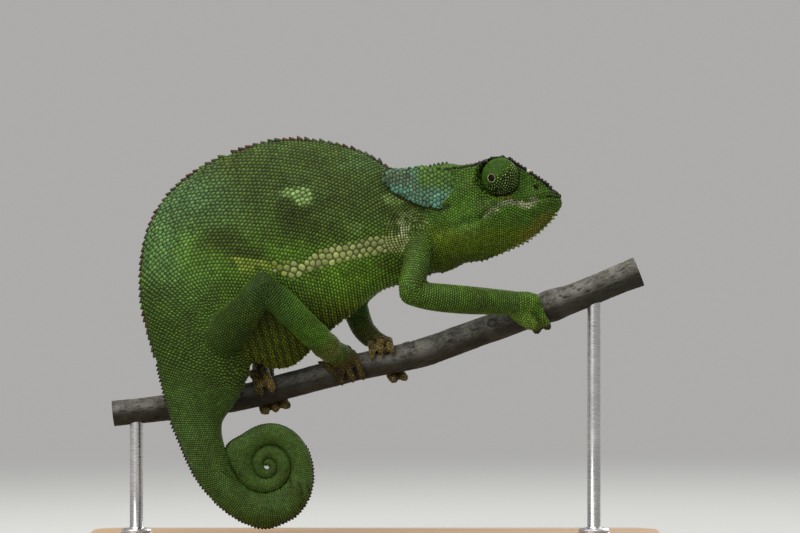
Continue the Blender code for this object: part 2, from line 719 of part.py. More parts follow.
def build_flaps():
    """The flap of skin behind each side of the head."""
    for name in LOOKS:
        side = side_of(name)
        rings = [flap_ring(row, side) for row in FLAP]
        for end, inner in ((0, 1), (-1, -2)):
            middle = sum(rings[end], Vector()) / len(rings[end])
            shift = (rings[end][0] - rings[inner][0]).x * FLAP_END_REACH
            reach = Vector((shift, 0.0, 0.0))
            cap = [middle + (point - middle) * FLAP_END_SIZE + reach for point in rings[end]]
            if end:
                rings.append(cap)
            else:
                rings.insert(0, cap)
        flap = loft(f"occipital_flap_{name}", rings, "skin_turquoise")
        combine(flap, [*head_cutter(), torso_cutter()], "DIFFERENCE")


def limb_rings(rows, grow=0.0, round_first=True, round_last=True):
    """Rings square to a limb's path, closing in round at each end."""
    rows = smooth_rows(rows, LIMB_STEPS)
    path = [Vector(row[:3]) for row in rows]
    rings = []
    for i, row in enumerate(rows):
        before, after = path[max(0, i - 1)], path[min(len(path) - 1, i + 1)]
        along = (after - before).normalized()
        side = (Vector((0.0, 1.0, 0.0)) - along * along.y).normalized()
        up = along.cross(side)
        centre = path[i]
        wide, thick = row[3] + grow, row[4] + grow
        ring = [
            centre + up * (wide * math.cos(2 * math.pi * k / LIMB_SIDES))
            + side * (thick * math.sin(2 * math.pi * k / LIMB_SIDES))
            for k in range(LIMB_SIDES)
        ]
        caps = [
            [centre + (point - centre) * spread + along * (wide * reach) for point in ring]
            for reach, spread in LIMB_ROUNDS
        ]
        back_caps = [
            [centre + (point - centre) * spread - along * (wide * reach) for point in ring]
            for reach, spread in LIMB_ROUNDS
        ]
        if i == 0 and round_first:
            rings += back_caps[::-1]
        rings.append(ring)
        if i == len(rows) - 1 and round_last:
            rings += caps
    return rings


def branch_rows():
    """The branch's stations with some between them."""
    return smooth_rows(BRANCH, BRANCH_STEPS)


def branch_at(x):
    """The branch's middle, radius and direction at a place along X."""
    rows = branch_rows()
    for row, after in zip(rows, rows[1:]):
        if x <= after[0] or after is rows[-1]:
            share = (x - row[0]) / (after[0] - row[0])
            here = mix_rows(row, after, share)
            along = (Vector(after[:3]) - Vector(row[:3])).normalized()
            return Vector(here[:3]), here[3], along
    return None


def branch_rings(grow=0.0):
    """Rings along the branch, a little uneven as bark is."""
    draw = random.Random(SEED)
    rows = branch_rows()
    rings = []
    for i, row in enumerate(rows):
        before, after = rows[max(0, i - 1)], rows[min(len(rows) - 1, i + 1)]
        along = (Vector(after[:3]) - Vector(before[:3])).normalized()
        side = (Vector((0.0, 1.0, 0.0)) - along * along.y).normalized()
        up = side.cross(along)
        ring = []
        for k in range(BRANCH_SIDES):
            turn = 2 * math.pi * k / BRANCH_SIDES
            radius = row[3] * draw.uniform(0.97, 1.0) + grow
            ring.append(Vector(row[:3]) + up * (radius * math.cos(turn)) + side * (radius * math.sin(turn)))
        rings.append(ring)
    return rings


def branch_cutter():
    """The branch with a gap's room round it."""
    return loft("branch_cutter", branch_rings(GAP))


def toe_path(spec, at, offset):
    """Centres, directions and radii of one toe as it bends round the branch."""
    along = branch_at(at)[2]
    up = Vector((-along.z, 0.0, along.x))
    near = Vector((0.0, -1.0, 0.0))
    start, stop = spec["from"], spec["to"]
    count = max(3, round(abs(stop - start) / TOE_STEP))
    rows = []
    for k in range(count + 1):
        share = k / count
        angle = math.radians(start + (stop - start) * share)
        out = up * math.cos(angle) + near * math.sin(angle)
        girth = spec["radius"] * (1 - TOE_TAPER * share)
        first, last = spec["along"]
        run = first + (last - first) * share + offset * (1 + TOE_SPLAY * share)
        centre, local, _ = branch_at(at + run * along.x)
        rows.append((centre + out * (local + TOE_CLEAR + girth), out, along, girth))
    return rows


def toe_and_claw(spec, at, offset):
    """One toe with a round tip, and its claw bent down on to the bark."""
    rows = toe_path(spec, at, offset)
    rings = []
    for centre, out, along, girth in rows:
        rings.append([
            centre + out * (girth * math.cos(2 * math.pi * k / TOE_SIDES))
            + along * (girth * math.sin(2 * math.pi * k / TOE_SIDES))
            for k in range(TOE_SIDES)
        ])
    centre, out, along, girth = rows[-1]
    ahead = (rows[-1][0] - rows[-2][0]).normalized()
    for reach, spread in TOE_ROUNDS:
        rings.append([
            centre + (point - centre) * spread + ahead * (girth * reach) - out * (girth * TOE_DROOP * reach)
            for point in rings[len(rows) - 1]
        ])
    toe = loft("toe", rings)
    claw = []
    for share, size in CLAW_TAPER:
        place = centre + ahead * (girth * CLAW_ROOT[0] + CLAW_LENGTH * share)
        place += out * (girth * (CLAW_ROOT[1] - CLAW_BEND * share * share))
        claw.append([
            place + out * (CLAW_RADIUS * size * math.cos(2 * math.pi * k / CLAW_SIDES))
            + along * (CLAW_RADIUS * CLAW_FLAT * size * math.sin(2 * math.pi * k / CLAW_SIDES))
            for k in range(CLAW_SIDES)
        ])
    return toe, loft("claw", claw)


def build_toes(name, bundle, spec, at, palm_cutters):
    """One bundle of toes, side by side in a mitten, each with its claw."""
    pieces = []
    for i in range(spec["toes"]):
        offset = (i - (spec["toes"] - 1) / 2) * spec["pitch"]
        pieces += toe_and_claw(spec, at, offset)
    toes = pieces[0]
    toes.name = f"{name}_{bundle}"
    toes.data.materials.append(finish_of("skin_brown", toes.name))
    combine(toes, pieces[1:], "UNION")
    combine(toes, palm_cutters, "DIFFERENCE")


def build_legs():
    """Four legs: upper and lower part, palm, and two bundles of toes each."""
    for name, parts in LEGS.items():
        label = "skin_green"
        upper = loft(f"{name}_upper", limb_rings(parts["upper"]), label)
        combine(upper, [torso_cutter(), *head_cutter()], "DIFFERENCE")
        lower = loft(f"{name}_lower", limb_rings(parts["lower"], round_last=False), label)
        cutters = [loft("upper_cutter", limb_rings(parts["upper"], GAP)), torso_cutter()]
        combine(lower, cutters, "DIFFERENCE")
        foot = loft(f"{name}_foot", limb_rings(parts["foot"], round_first=False), "skin_brown")
        cutters = [loft("lower_cutter", limb_rings(parts["lower"], GAP, round_last=False)), branch_cutter()]
        combine(foot, cutters, "DIFFERENCE")
        for bundle in ("outer_toes", "inner_toes"):
            spec = FEET[name][bundle]
            cutters = [
                loft("foot_cutter", limb_rings(parts["foot"], GAP, round_first=False)),
                loft("lower_cutter", limb_rings(parts["lower"], GAP, round_last=False)),
            ]
            build_toes(name, bundle, spec, FEET[name]["at"], cutters)


def build_branch():
    """The cut length of branch that the feet hold."""
    loft("perch_branch", branch_rings(), "bark")


def base_ring(inset, z):
    """The base's outline with round corners, drawn in by an inset."""
    corner = BASE_CORNER - inset
    half_x = BASE_LENGTH / 2 - BASE_CORNER
    half_y = BASE_WIDTH / 2 - BASE_CORNER
    ring = []
    for quarter, (sx, sy) in enumerate(((1, 1), (-1, 1), (-1, -1), (1, -1))):
        for k in range(6):
            turn = math.radians(90 * quarter + 18 * k)
            across, along = corner * math.cos(turn), corner * math.sin(turn)
            ring.append(Vector((sx * half_x + across, sy * half_y + along, z)))
    return ring


def build_stand():
    """The flat base and the two rods up to the branch."""
    rings = [
        base_ring(BASE_EDGE * 0.5, 0.0),
        base_ring(0.0, BASE_EDGE * 0.5),
        base_ring(0.0, BASE_HEIGHT - BASE_EDGE),
        base_ring(BASE_EDGE * 0.3, BASE_HEIGHT - BASE_EDGE * 0.3),
        base_ring(BASE_EDGE, BASE_HEIGHT),
    ]
    loft("stand_base", rings, "base_wood")
    for name, x in ROD_PLACES.items():
        middle = branch_at(x)[0]
        foot = BASE_HEIGHT + GAP
        profile = [
            (0.0, foot), (ROD_FOOT_RADIUS, foot), (ROD_FOOT_RADIUS, foot + ROD_FOOT_HEIGHT - 0.6),
            (ROD_FOOT_RADIUS - 0.6, foot + ROD_FOOT_HEIGHT), (ROD_RADIUS, foot + ROD_FOOT_HEIGHT),
            (ROD_RADIUS, middle.z), (0.0, middle.z),
        ]
        rod = turned(name, profile, (x, middle.y, 0.0), (0.0, 0.0, 1.0), 16, "rod_steel")
        combine(rod, [branch_cutter()], "DIFFERENCE")


def build_model():
    """The whole model."""
    draw = random.Random(SEED)
    clear_scene()
    build_branch()
    build_stand()
    build_torso(draw)
    build_neck(draw)
    build_tail(draw)
    build_head(draw)
    build_jaw(draw)
    build_eyes()
    build_flaps()
    build_legs()


build_model()
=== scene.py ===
"""Flap-necked chameleon on a cut branch: skin, scales, crests, eyes, claws, bark, base and rods.

The tables are in millimetres in the model's own frame: +X is the way the head looks and the
animal's right side faces -Y. They turn into metres where a mesh is made.
"""

import math
from itertools import product
from operator import add

import bmesh
import bpy
import numpy as np
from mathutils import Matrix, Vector, noise
from mathutils.bvhtree import BVHTree
from mathutils.kdtree import KDTree


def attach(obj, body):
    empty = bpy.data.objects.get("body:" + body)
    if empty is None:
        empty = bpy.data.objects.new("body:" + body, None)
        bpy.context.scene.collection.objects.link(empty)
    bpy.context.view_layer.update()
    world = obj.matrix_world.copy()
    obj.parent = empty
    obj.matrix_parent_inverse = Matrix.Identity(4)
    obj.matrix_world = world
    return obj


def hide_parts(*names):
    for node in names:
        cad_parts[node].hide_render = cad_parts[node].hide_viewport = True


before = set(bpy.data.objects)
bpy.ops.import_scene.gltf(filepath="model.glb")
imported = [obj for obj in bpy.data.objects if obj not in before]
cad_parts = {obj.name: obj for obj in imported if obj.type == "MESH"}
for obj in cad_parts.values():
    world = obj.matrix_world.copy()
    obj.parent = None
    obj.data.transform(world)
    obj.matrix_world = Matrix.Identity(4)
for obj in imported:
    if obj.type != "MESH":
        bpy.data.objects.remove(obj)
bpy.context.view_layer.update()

MM = 0.001
SEED = 11

# The fused skin: how far it lies under the solids' faces, the size of its faces, and how finely
# the tables are read
COAT_DEPTH = 0.28
VOXEL = 0.62
BODY_STEPS = 8
BODY_SIDES = 72
TOE_STEPS = 18

# Scales: the corners of each, how deep its edge goes under the skin, how rows are spaced, how many
# places are tried between the rows, and the cell in which neighbours are looked for
SPOKES = 8
SCALE_SINK = 0.12
TRUNK_ROW_PITCH = 1.14
ROW_STEP = 0.866
FILLERS = 30000
THIN_CELL = 2.4

# Where the coats of the trunk and the head are divided into pieces
TRUNK_CUT_X = -30.0
TRUNK_CUT_Z = 92.0
HEAD_CUT_Z = 106.5

# The flat map: its name, and how much of it one scale takes
UV_NAME = "OFBake"
PATCH = 0.003

# Stand
BASE_LENGTH = 176.0
BASE_WIDTH = 90.0
BASE_HEIGHT = 8.0
BASE_CORNER = 9.0
BASE_EDGE = 1.2
ROD_RADIUS = 2.0
ROD_FOOT_RADIUS = 5.0
ROD_FOOT_HEIGHT = 2.4
ROD_PLACES = {"stand_rod_rear": -72.0, "stand_rod_front": 66.0}

# Branch: X, Y, Z of its middle and its radius
BRANCH = [
    (-79.0, 1.6, 45.2, 3.8), (-63.0, 1.8, 46.9, 3.9), (-51.0, 2.1, 48.2, 3.8), (-40.0, 2.0, 50.1, 3.9),
    (-28.0, 1.9, 53.2, 3.9), (-16.0, 2.0, 56.4, 4.0), (-6.0, 2.1, 59.0, 4.0), (4.0, 2.1, 61.2, 4.1),
    (13.5, 1.9, 63.3, 4.3), (25.0, 1.8, 67.3, 4.2), (36.0, 2.0, 71.3, 4.3), (49.0, 2.2, 76.2, 4.3),
    (60.0, 2.1, 80.1, 4.4), (70.0, 1.9, 84.2, 4.4), (79.5, 1.8, 88.0, 4.5),
]

# Where the branch swells ahead of the near hand: X, reach and height
BRANCH_SWELL = (53.5, 3.5, 0.6)
BARK_RADIUS = 4.0
# Knots: how far along the branch, angle round it, size, height. Cracks: how far along, first angle, span
BRANCH_KNOTS = [
    (72.0, 340.0, 2.6, 0.55), (91.5, 30.0, 1.6, 0.7), (146.0, 120.0, 2.2, 0.4), (28.0, 210.0, 2.0, 0.35),
    (118.0, 290.0, 2.0, 0.4),
]
BRANCH_CRACKS = [(93.0, 300.0, 150.0), (70.5, 290.0, 90.0), (131.0, 60.0, 80.0), (48.0, 340.0, 100.0)]

# Trunk: belly X and Z, back X and Z, half width and middle Y of each section
TRUNK = [
    (19.5, 87.9, 12.0, 117.9, 8.8, -2.8), (15.2, 86.3, 8.4, 118.0, 9.2, -3.2), (10.5, 84.9, 4.5, 118.8, 9.8, -3.6),
    (0.9, 81.6, -3.0, 123.3, 10.6, -4.4), (-6.0, 75.9, -12.0, 126.2, 11.2, -5.0),
    (-12.9, 70.5, -21.6, 127.5, 11.5, -5.0), (-18.9, 64.5, -31.5, 127.0, 11.5, -5.0),
    (-23.4, 60.3, -42.0, 124.0, 11.4, -5.0), (-27.3, 58.8, -52.5, 119.0, 11.2, -5.2),
    (-30.9, 59.1, -61.5, 111.5, 10.9, -5.6), (-33.9, 60.3, -67.5, 102.0, 10.5, -6.4),
    (-35.7, 60.9, -69.9, 90.9, 10.0, -7.4), (-36.9, 59.7, -69.9, 79.5, 9.4, -8.6),
    (-37.5, 56.7, -68.1, 71.1, 8.5, -9.8), (-39.3, 52.5, -65.4, 60.9, 7.4, -11.0),
    (-41.7, 48.3, -63.3, 52.2, 6.8, -11.8), (-45.0, 43.8, -61.2, 43.8, 6.4, -12.3),
    (-45.4, 39.9, -59.4, 39.3, 6.2, -12.6), (-44.4, 35.1, -57.3, 34.5, 5.8, -12.8),
]
TRUNK_KEEL = 0.16
TRUNK_LEAF = 0.3
TORSO_END = 14

# Coil: where it turns, and the radius of the groove between turns at each quarter turn
COIL_X = -31.8
COIL_Z = 30.0
COIL_Y = -12.6
GROOVES = [0.6, 0.3, 0.1, 0.9, 1.4, 2.5, 2.65, 3.65, 4.55, 6.45, 6.9, 7.9, 10.4, 12.7, 13.2, 18.4]
GROOVE_FIRST = -5
TURN_GAP = -0.12
BEND = [(7.0, 23.4, 5.6), (6.86, 21.3, 5.4), (6.7, 19.5, 5.2), (6.5, 18.5, 5.0), (6.25, 18.2, 4.9)]
COIL_START = 6.0
COIL_TIP = -4.9
COIL_JOIN = 5.35
COIL_DEPTH = -0.03
COIL_FLAT = 0.92
COIL_BULGE = (7.26, 0.22, 2.8)

# Head: X, lean, ridge top Z, side ridge Z and half width, cheek and lip half widths
HEAD_Y = -2.6
LEAN_Z = 104.0
HEAD = [
    (56.0, 0.0, 111.1, 110.9, 0.7, 0.9, 1.1), (54.9, 0.0, 111.8, 111.7, 1.6, 2.0, 2.5),
    (53.1, 0.0, 113.0, 113.1, 2.7, 3.1, 3.7), (51.0, 0.0, 114.9, 115.1, 3.7, 4.0, 4.8),
    (48.3, 0.0, 116.6, 117.0, 4.6, 4.8, 5.8), (45.3, 0.0, 118.4, 118.9, 5.5, 5.5, 6.8),
    (42.0, 0.0, 120.4, 121.0, 6.5, 6.0, 7.8), (39.0, 0.0, 121.6, 122.2, 7.2, 6.4, 8.6),
    (36.0, 0.0, 121.9, 122.2, 7.4, 6.8, 9.2), (33.0, 0.0, 121.6, 121.2, 7.3, 7.6, 9.7),
    (30.0, 0.0, 120.7, 120.4, 7.0, 8.7, 10.1), (27.0, -0.05, 120.2, 119.7, 6.8, 9.4, 10.3),
    (24.0, -0.12, 120.7, 119.3, 6.7, 9.7, 10.1), (20.0, -0.2, 119.9, 118.0, 6.4, 9.5, 9.8),
    (15.9, -0.25, 118.4, 116.0, 5.4, 8.9, 9.2),
]
MOUTH = [
    (56.1, 110.1), (51.9, 110.5), (49.6, 110.0), (46.2, 109.1), (41.6, 108.9), (38.3, 108.0),
    (35.4, 106.6), (33.3, 104.8), (30.0, 103.4), (24.0, 101.6), (10.0, 99.0),
]
MOUTH_END = 31.0
THROAT = [
    (56.5, 107.8), (54.9, 105.6), (53.1, 103.2), (51.0, 101.1), (48.3, 98.7), (45.3, 96.6),
    (42.0, 95.0), (39.0, 93.6), (36.0, 92.4), (33.0, 91.2), (30.0, 90.8), (27.0, 90.4),
    (24.0, 88.8), (20.0, 87.3),
]

# Eye turrets: middle, the way each one looks, and their turned outlines
TURRET_X = 37.7
TURRET_Z = 116.4
TURRET_OUT = 6.6
TURRET_OUTLINE = [
    (0.0, -3.4), (3.2, -3.3), (4.6, -2.7), (5.45, -1.2), (5.65, 0.4), (5.3, 2.1), (4.4, 3.6), (3.1, 4.75),
    (1.9, 5.36), (1.38, 5.5), (1.17, 5.36), (1.13, 4.3), (0.0, 3.9),
]
EYE_OUTLINE = [(0.0, 4.1), (0.94, 4.3), (1.1, 4.8), (1.06, 5.15), (0.75, 5.42), (0.4, 5.52), (0.0, 5.54)]
LOOKS = {"right": (-0.54, -0.83, -0.09), "left": (0.35, 0.93, 0.05)}
NOSTRILS = np.array([[48.4, HEAD_Y + side * 5.0, 113.2] for side in (-1, 1)])

# Occipital flaps: X, top Z, bottom Z, distance from the middle of the head
FLAP = [
    (2.6, 118.0, 115.6, 9.6), (4.4, 118.8, 113.2, 9.9), (7.0, 118.6, 111.4, 10.0), (10.0, 118.8, 109.8, 10.0),
    (13.0, 119.3, 108.3, 9.9), (16.5, 119.1, 107.4, 9.6), (19.5, 118.8, 107.2, 9.2), (22.0, 117.6, 108.0, 8.8),
    (23.6, 115.0, 110.2, 8.4),
]
FLAP_HALF = 0.55

# Legs: X, Y, Z, half width across the leg as seen from the side, half thickness
LEGS = {
    "right_foreleg": {
        "upper": [(13.4, -8.0, 99.0, 4.6, 4.2), (12.6, -12.6, 92.5, 4.2, 3.9), (11.2, -17.2, 84.6, 4.2, 3.8),
                  (10.9, -18.0, 81.8, 4.0, 3.7)],
        "lower": [(11.0, -17.8, 81.6, 3.9, 3.6), (17.5, -16.0, 80.5, 4.4, 3.9), (27.0, -12.8, 79.6, 4.45, 3.9),
                  (36.0, -9.0, 79.0, 4.1, 3.6), (42.0, -6.4, 78.6, 3.8, 3.3)],
        "foot": [(41.4, -6.6, 78.7, 3.6, 3.0), (44.4, -5.8, 78.8, 3.6, 2.9), (46.9, -4.7, 78.6, 3.45, 2.6)],
        "heel": [(40.8, -6.4, 77.6, 2.6, 2.3), (43.6, -6.0, 75.0, 2.8, 2.3), (46.6, -5.4, 72.6, 2.4, 2.1)],
    },
    "right_hindleg": {
        "upper": [(-49.5, -12.0, 64.0, 6.4, 5.2), (-43.5, -16.0, 70.0, 6.0, 5.0), (-37.0, -19.6, 78.2, 5.0, 4.4),
                  (-33.2, -20.6, 83.6, 4.6, 4.0)],
        "lower": [(-33.0, -20.4, 83.6, 4.3, 3.9), (-27.6, -19.6, 78.8, 4.5, 3.9), (-21.4, -16.6, 72.6, 4.4, 3.8),
                  (-15.6, -11.4, 66.8, 4.3, 3.8), (-12.8, -8.0, 64.2, 4.2, 3.6)],
        "foot": [(-13.0, -8.4, 64.5, 3.9, 3.5), (-10.6, -5.4, 63.0, 3.8, 3.3), (-8.2, -3.2, 62.3, 3.2, 3.0)],
        "heel": [(-16.2, -1.6, 60.6, 1.1, 1.0), (-13.8, -2.8, 59.6, 1.8, 1.5), (-11.2, -3.6, 58.4, 2.3, 1.8)],
    },
    "left_foreleg": {
        "upper": [(12.6, -1.0, 96.0, 4.4, 4.0), (5.0, 6.6, 90.0, 4.1, 3.8), (-2.6, 11.6, 83.4, 4.0, 3.7),
                  (-6.4, 12.8, 80.0, 3.9, 3.6)],
        "lower": [(-6.4, 12.8, 80.0, 3.8, 3.5), (-5.6, 12.0, 75.4, 4.0, 3.6), (-3.6, 10.4, 70.6, 3.7, 3.4),
                  (-0.8, 8.8, 67.6, 3.4, 3.2)],
        "foot": [(-1.4, 9.0, 68.0, 3.1, 2.9), (0.8, 7.8, 66.8, 3.1, 2.8), (3.0, 6.5, 65.8, 2.9, 2.7)],
    },
    "left_hindleg": {
        "upper": [(-45.0, -5.0, 66.0, 6.0, 5.0), (-38.0, 4.0, 71.6, 5.4, 4.6), (-30.6, 10.6, 77.6, 4.7, 4.2),
                  (-27.0, 12.2, 80.6, 4.3, 4.0)],
        "lower": [(-27.0, 12.2, 80.6, 4.1, 3.8), (-28.6, 11.8, 74.4, 4.3, 3.8), (-31.4, 10.2, 67.0, 4.2, 3.7),
                  (-33.8, 8.0, 60.6, 3.9, 3.5)],
        "foot": [(-33.6, 8.2, 61.2, 3.6, 3.3), (-34.0, 7.2, 58.6, 3.6, 3.2), (-33.6, 6.2, 56.8, 3.3, 3.0)],
    },
}

# Feet: X on the branch, then for each bundle its toes, the angles round the branch from its top
# towards the near side, how far the toes run along the branch, how far apart they are, their radius
FEET = {
    "right_foreleg": {
        "at": 48.2,
        "outer_toes": {"toes": 2, "from": 62, "to": 150, "along": (-0.7, 0.2), "pitch": 3.0, "radius": 1.75},
        "inner_toes": {"toes": 3, "from": 30, "to": -88, "along": (-2.8, -3.2), "pitch": 2.4, "radius": 1.15},
    },
    "right_hindleg": {
        "at": -7.8,
        "outer_toes": {"toes": 3, "from": 62, "to": 124, "along": (0.0, 0.2), "pitch": 2.9, "radius": 1.36},
        "inner_toes": {"toes": 2, "from": 18, "to": -88, "along": (-0.2, -0.6), "pitch": 2.6, "radius": 1.5},
    },
    "left_foreleg": {
        "at": 3.2,
        "inner_toes": {"toes": 3, "from": -14, "to": 62, "along": (-0.4, -0.6), "pitch": 2.6, "radius": 1.4},
        "outer_toes": {"toes": 2, "from": -62, "to": -172, "along": (0.6, 2.8), "pitch": 2.9, "radius": 1.7},
    },
    "left_hindleg": {
        "at": -33.4,
        "inner_toes": {"toes": 2, "from": -10, "to": 82, "along": (0.0, 0.8), "pitch": 3.2, "radius": 1.75},
        "outer_toes": {"toes": 3, "from": -66, "to": -176, "along": (0.6, 2.0), "pitch": 3.0, "radius": 1.7},
    },
}
TOE_CLEAR = 0.42
CLAW_LENGTH = 1.45
CLAW_RADIUS = 0.6

# Shoulder: the middle of the fine folds round it, and how far apart they lie
SHOULDER_X = 13.6
SHOULDER_Z = 99.8
FOLD_STEP = 0.8
BELLY_FOLD_STEP = 2.4

# Where each stretch of the body lies on the flat map of the skin: left, bottom, right, top
TILES = {
    "trunk": (0.01, 0.51, 0.49, 0.99), "head": (0.51, 0.75, 0.99, 0.99), "tail": (0.51, 0.51, 0.99, 0.735),
    "right_foreleg": (0.01, 0.265, 0.12, 0.49), "right_hindleg": (0.135, 0.265, 0.245, 0.49),
    "left_foreleg": (0.26, 0.265, 0.37, 0.49), "left_hindleg": (0.385, 0.265, 0.495, 0.49),
    "right_foreleg_foot": (0.51, 0.265, 0.62, 0.49), "right_hindleg_foot": (0.635, 0.265, 0.745, 0.49),
    "left_foreleg_foot": (0.76, 0.265, 0.87, 0.49), "left_hindleg_foot": (0.885, 0.265, 0.99, 0.49),
    "flap_right": (0.01, 0.01, 0.24, 0.25), "flap_left": (0.26, 0.01, 0.49, 0.25),
    "lid_right": (0.51, 0.01, 0.74, 0.25), "lid_left": (0.76, 0.01, 0.99, 0.25),
}
REGIONS = list(TILES)
NUMBERS = {name: number for number, name in enumerate(REGIONS)}
FEET_NUMBERS = [number for name, number in NUMBERS.items() if name.endswith("_foot")]


# Shapes from tables

def spline(rows, steps):
    """Rows of numbers on a curve through the given rows."""
    rows = np.array(rows, float)
    ends = np.vstack([rows[:1], rows, rows[-1:]])
    t = (np.arange(steps) / steps)[:, None]
    parts = []
    for i in range(len(rows) - 1):
        p, q, r, s = ends[i:i + 4]
        parts.append(0.5 * (2 * q + (r - p) * t + (2 * p - 5 * q + 4 * r - s) * t ** 2
                            + (3 * q - p - 3 * r + s) * t ** 3))
    parts.append(rows[-1:])
    return np.vstack(parts)


def unit(vectors):
    """Vectors brought to length one."""
    return vectors / np.maximum(np.linalg.norm(vectors, axis=-1, keepdims=True), 1e-9)


def dots(a, b):
    """The scalar products of two lists of vectors."""
    return (a * b).sum(axis=-1)


def turns(count):
    """Even angles once round."""
    return 2 * np.pi * np.arange(count) / count


def repeated(row, count):
    """One row of numbers a number of times."""
    return np.tile(np.array(row, float), (count, 1))


def columns(rows, *picks):
    """Chosen columns of a table."""
    return np.stack([rows[:, i] for i in picks], 1)


def read_at(at, marks, rows):
    """Rows of numbers read at places between marks, along straight lines."""
    return np.stack([np.interp(at, marks, rows[:, i]) for i in range(rows.shape[1])], -1)


def square_to(along):
    """The directions sideways and up that are square to a path's own."""
    side = unit(np.array([0.0, 1.0, 0.0]) - along * along[:, 1:2])
    return side, np.cross(along, side)


def read_line(table, x, column=1):
    """A column of a table at x, along straight lines."""
    table = sorted(table)
    return np.interp(x, [row[0] for row in table], [row[column] for row in table])


def soft_step(value, low, high):
    """Zero below low, one above high, and smooth between."""
    t = np.clip((value - low) / (high - low), 0.0, 1.0)
    return t * t * (3 - 2 * t)


def groove(turn, bulged=True):
    """The radius of the coil's groove at a number of quarter turns, pressed out where it meets the tail."""
    place = turn - GROOVE_FIRST
    index = max(0, min(len(GROOVES) - 2, math.floor(place)))
    t = place - index
    p, q, r, s = [GROOVES[0], *GROOVES, GROOVES[-1]][index:index + 4]
    bulge = COIL_BULGE[2] * math.exp(-((turn - COIL_BULGE[0]) / COIL_BULGE[1]) ** 2) if bulged else 0.0
    return bulge + 0.5 * (2 * q + (r - p) * t + (2 * p - 5 * q + 4 * r - s) * t * t
                          + (3 * q - p - 3 * r + s) * t ** 3)


def coil_row(turn, outer=None, half=None):
    """The tail's section in the coil, between one groove and the next one out."""
    angle = math.radians(90.0 * turn)
    inner = groove(turn) + TURN_GAP / 2
    outer = outer or groove(turn + 4) - TURN_GAP / 2
    half = half or (min(outer, groove(turn + 4, False)) - inner) / 2 * COIL_FLAT
    return (
        COIL_X + inner * math.sin(angle), COIL_Z + inner * math.cos(angle),
        COIL_X + outer * math.sin(angle), COIL_Z + outer * math.cos(angle), half, COIL_Y,
    )


def body_rows():
    """Sections from the neck to the tail's tip, with keel and leaf added, and where the coil's form begins."""
    first = np.array(TRUNK[0]) + (np.array(TRUNK[0]) - np.array(TRUNK[1])) * 1.6
    first[4] = 7.0
    rows = [tuple(first), *TRUNK, *(coil_row(*place) for place in BEND), coil_row(COIL_START), coil_row(5.7)]
    fades = [1 - soft_step(i, TORSO_END - 1, TORSO_END + 2) for i in range(len(rows))]
    fine = list(spline([(*row, TRUNK_KEEL * fade, TRUNK_LEAF * fade) for row, fade in zip(rows, fades)], BODY_STEPS))
    turn, join = 5.65, 0
    while turn > COIL_TIP:
        if turn > COIL_JOIN:
            join = len(fine)
        fine.append(np.array((*coil_row(turn), 0.0, 0.0)))
        turn -= 0.05 if turn > 1.5 else 0.08
    end = np.array((*coil_row(COIL_TIP), 0.0, 0.0))
    middle = np.array([(end[0] + end[2]) / 2, (end[1] + end[3]) / 2] * 2 + [0.0, end[5], 0.0, 0.0])
    for share in (0.0, 0.3, 0.7):
        fine.append(end + (middle - end) * share)
    return np.array(fine), join


def body_rings(rows, sides, grow):
    """The rings of the body's sections, narrower towards the back and the belly."""
    belly, back = columns(rows, 0, 5, 1), columns(rows, 2, 5, 3)
    middle = (belly + back) / 2
    up = (back - belly) / 2
    height = np.linalg.norm(up, axis=1, keepdims=True)
    up = up * np.maximum(height + np.reshape(grow, (-1, 1)), 0.12) / height
    width = np.maximum(rows[:, 4] + grow, 0.1)
    sine, cosine = np.sin(turns(sides)), np.cos(turns(sides))
    side = (width[:, None] * sine * (1 - rows[:, 6:7] * cosine) * (1 - rows[:, 7:8] * (1 - np.abs(sine))))
    rings = middle[:, None] + up[:, None] * cosine[None, :, None]
    rings[:, :, 1] += side
    return rings


def round_profile(points, count):
    """A closed outline through corner points, evenly resampled on a smooth curve."""
    points = np.array(points)
    closed = np.vstack([points[-1:], points, points[:2]])
    dense = spline(closed, 8)[8:-8]
    lengths = walk(dense)
    return read_at(np.linspace(0.0, lengths[-1], count, endpoint=False), lengths, dense)


def head_rows():
    """The head's stations, with one more sunk into the neck."""
    rows = [np.array(row) for row in HEAD]
    last = rows[-1] + (rows[-1] - rows[-2]) * 0.8
    last[4:] = (3.4, 6.0, 6.4)
    last[2:4] = (115.8, 112.0)
    return spline([*rows, last], 6)


def skull_rings(rows, sides, grow):
    """Rings of the head above the mouth, reaching a little below the mouth line."""
    rings = []
    for x, lean, z_top, z_ridge, w_ridge, w_cheek, w_lip in rows:
        z_mouth = read_line(MOUTH, x)
        rise = z_ridge - z_mouth
        half = [
            (w_lip * 0.8, z_mouth - 1.0), (w_lip * 0.97, z_mouth), (w_lip + 0.15, z_mouth + rise * 0.14),
            (w_lip * 0.4 + w_cheek * 0.6, z_mouth + rise * 0.34), (w_cheek, z_mouth + rise * 0.58),
            (w_cheek * 0.4 + w_ridge * 0.6, z_mouth + rise * 0.82), (w_ridge, z_ridge),
            (w_ridge * 0.5, z_ridge * 0.45 + z_top * 0.55),
        ]
        rings.append(half_ring(half, (z_mouth - 1.0, z_top), x, lean, sides, grow))
    return np.array(rings)


def jaw_rings(rows, sides, grow):
    """Rings of the lower jaw and throat, reaching a little above the mouth line."""
    rings = []
    for x, lean, *_, w_lip in rows:
        top = read_line(MOUTH, x)
        low = read_line(THROAT, x + lean * (90.0 - LEAN_Z))
        drop = top - low
        half = [
            (w_lip * 0.8, top + 1.0), (w_lip * 0.96, top), (w_lip, top - drop * 0.16),
            (w_lip * 0.93, top - drop * 0.36), (w_lip * 0.74, top - drop * 0.6), (w_lip * 0.44, top - drop * 0.84),
        ]
        rings.append(half_ring(half, (top + 1.0, low), x, lean, sides, grow))
    return np.array(rings)


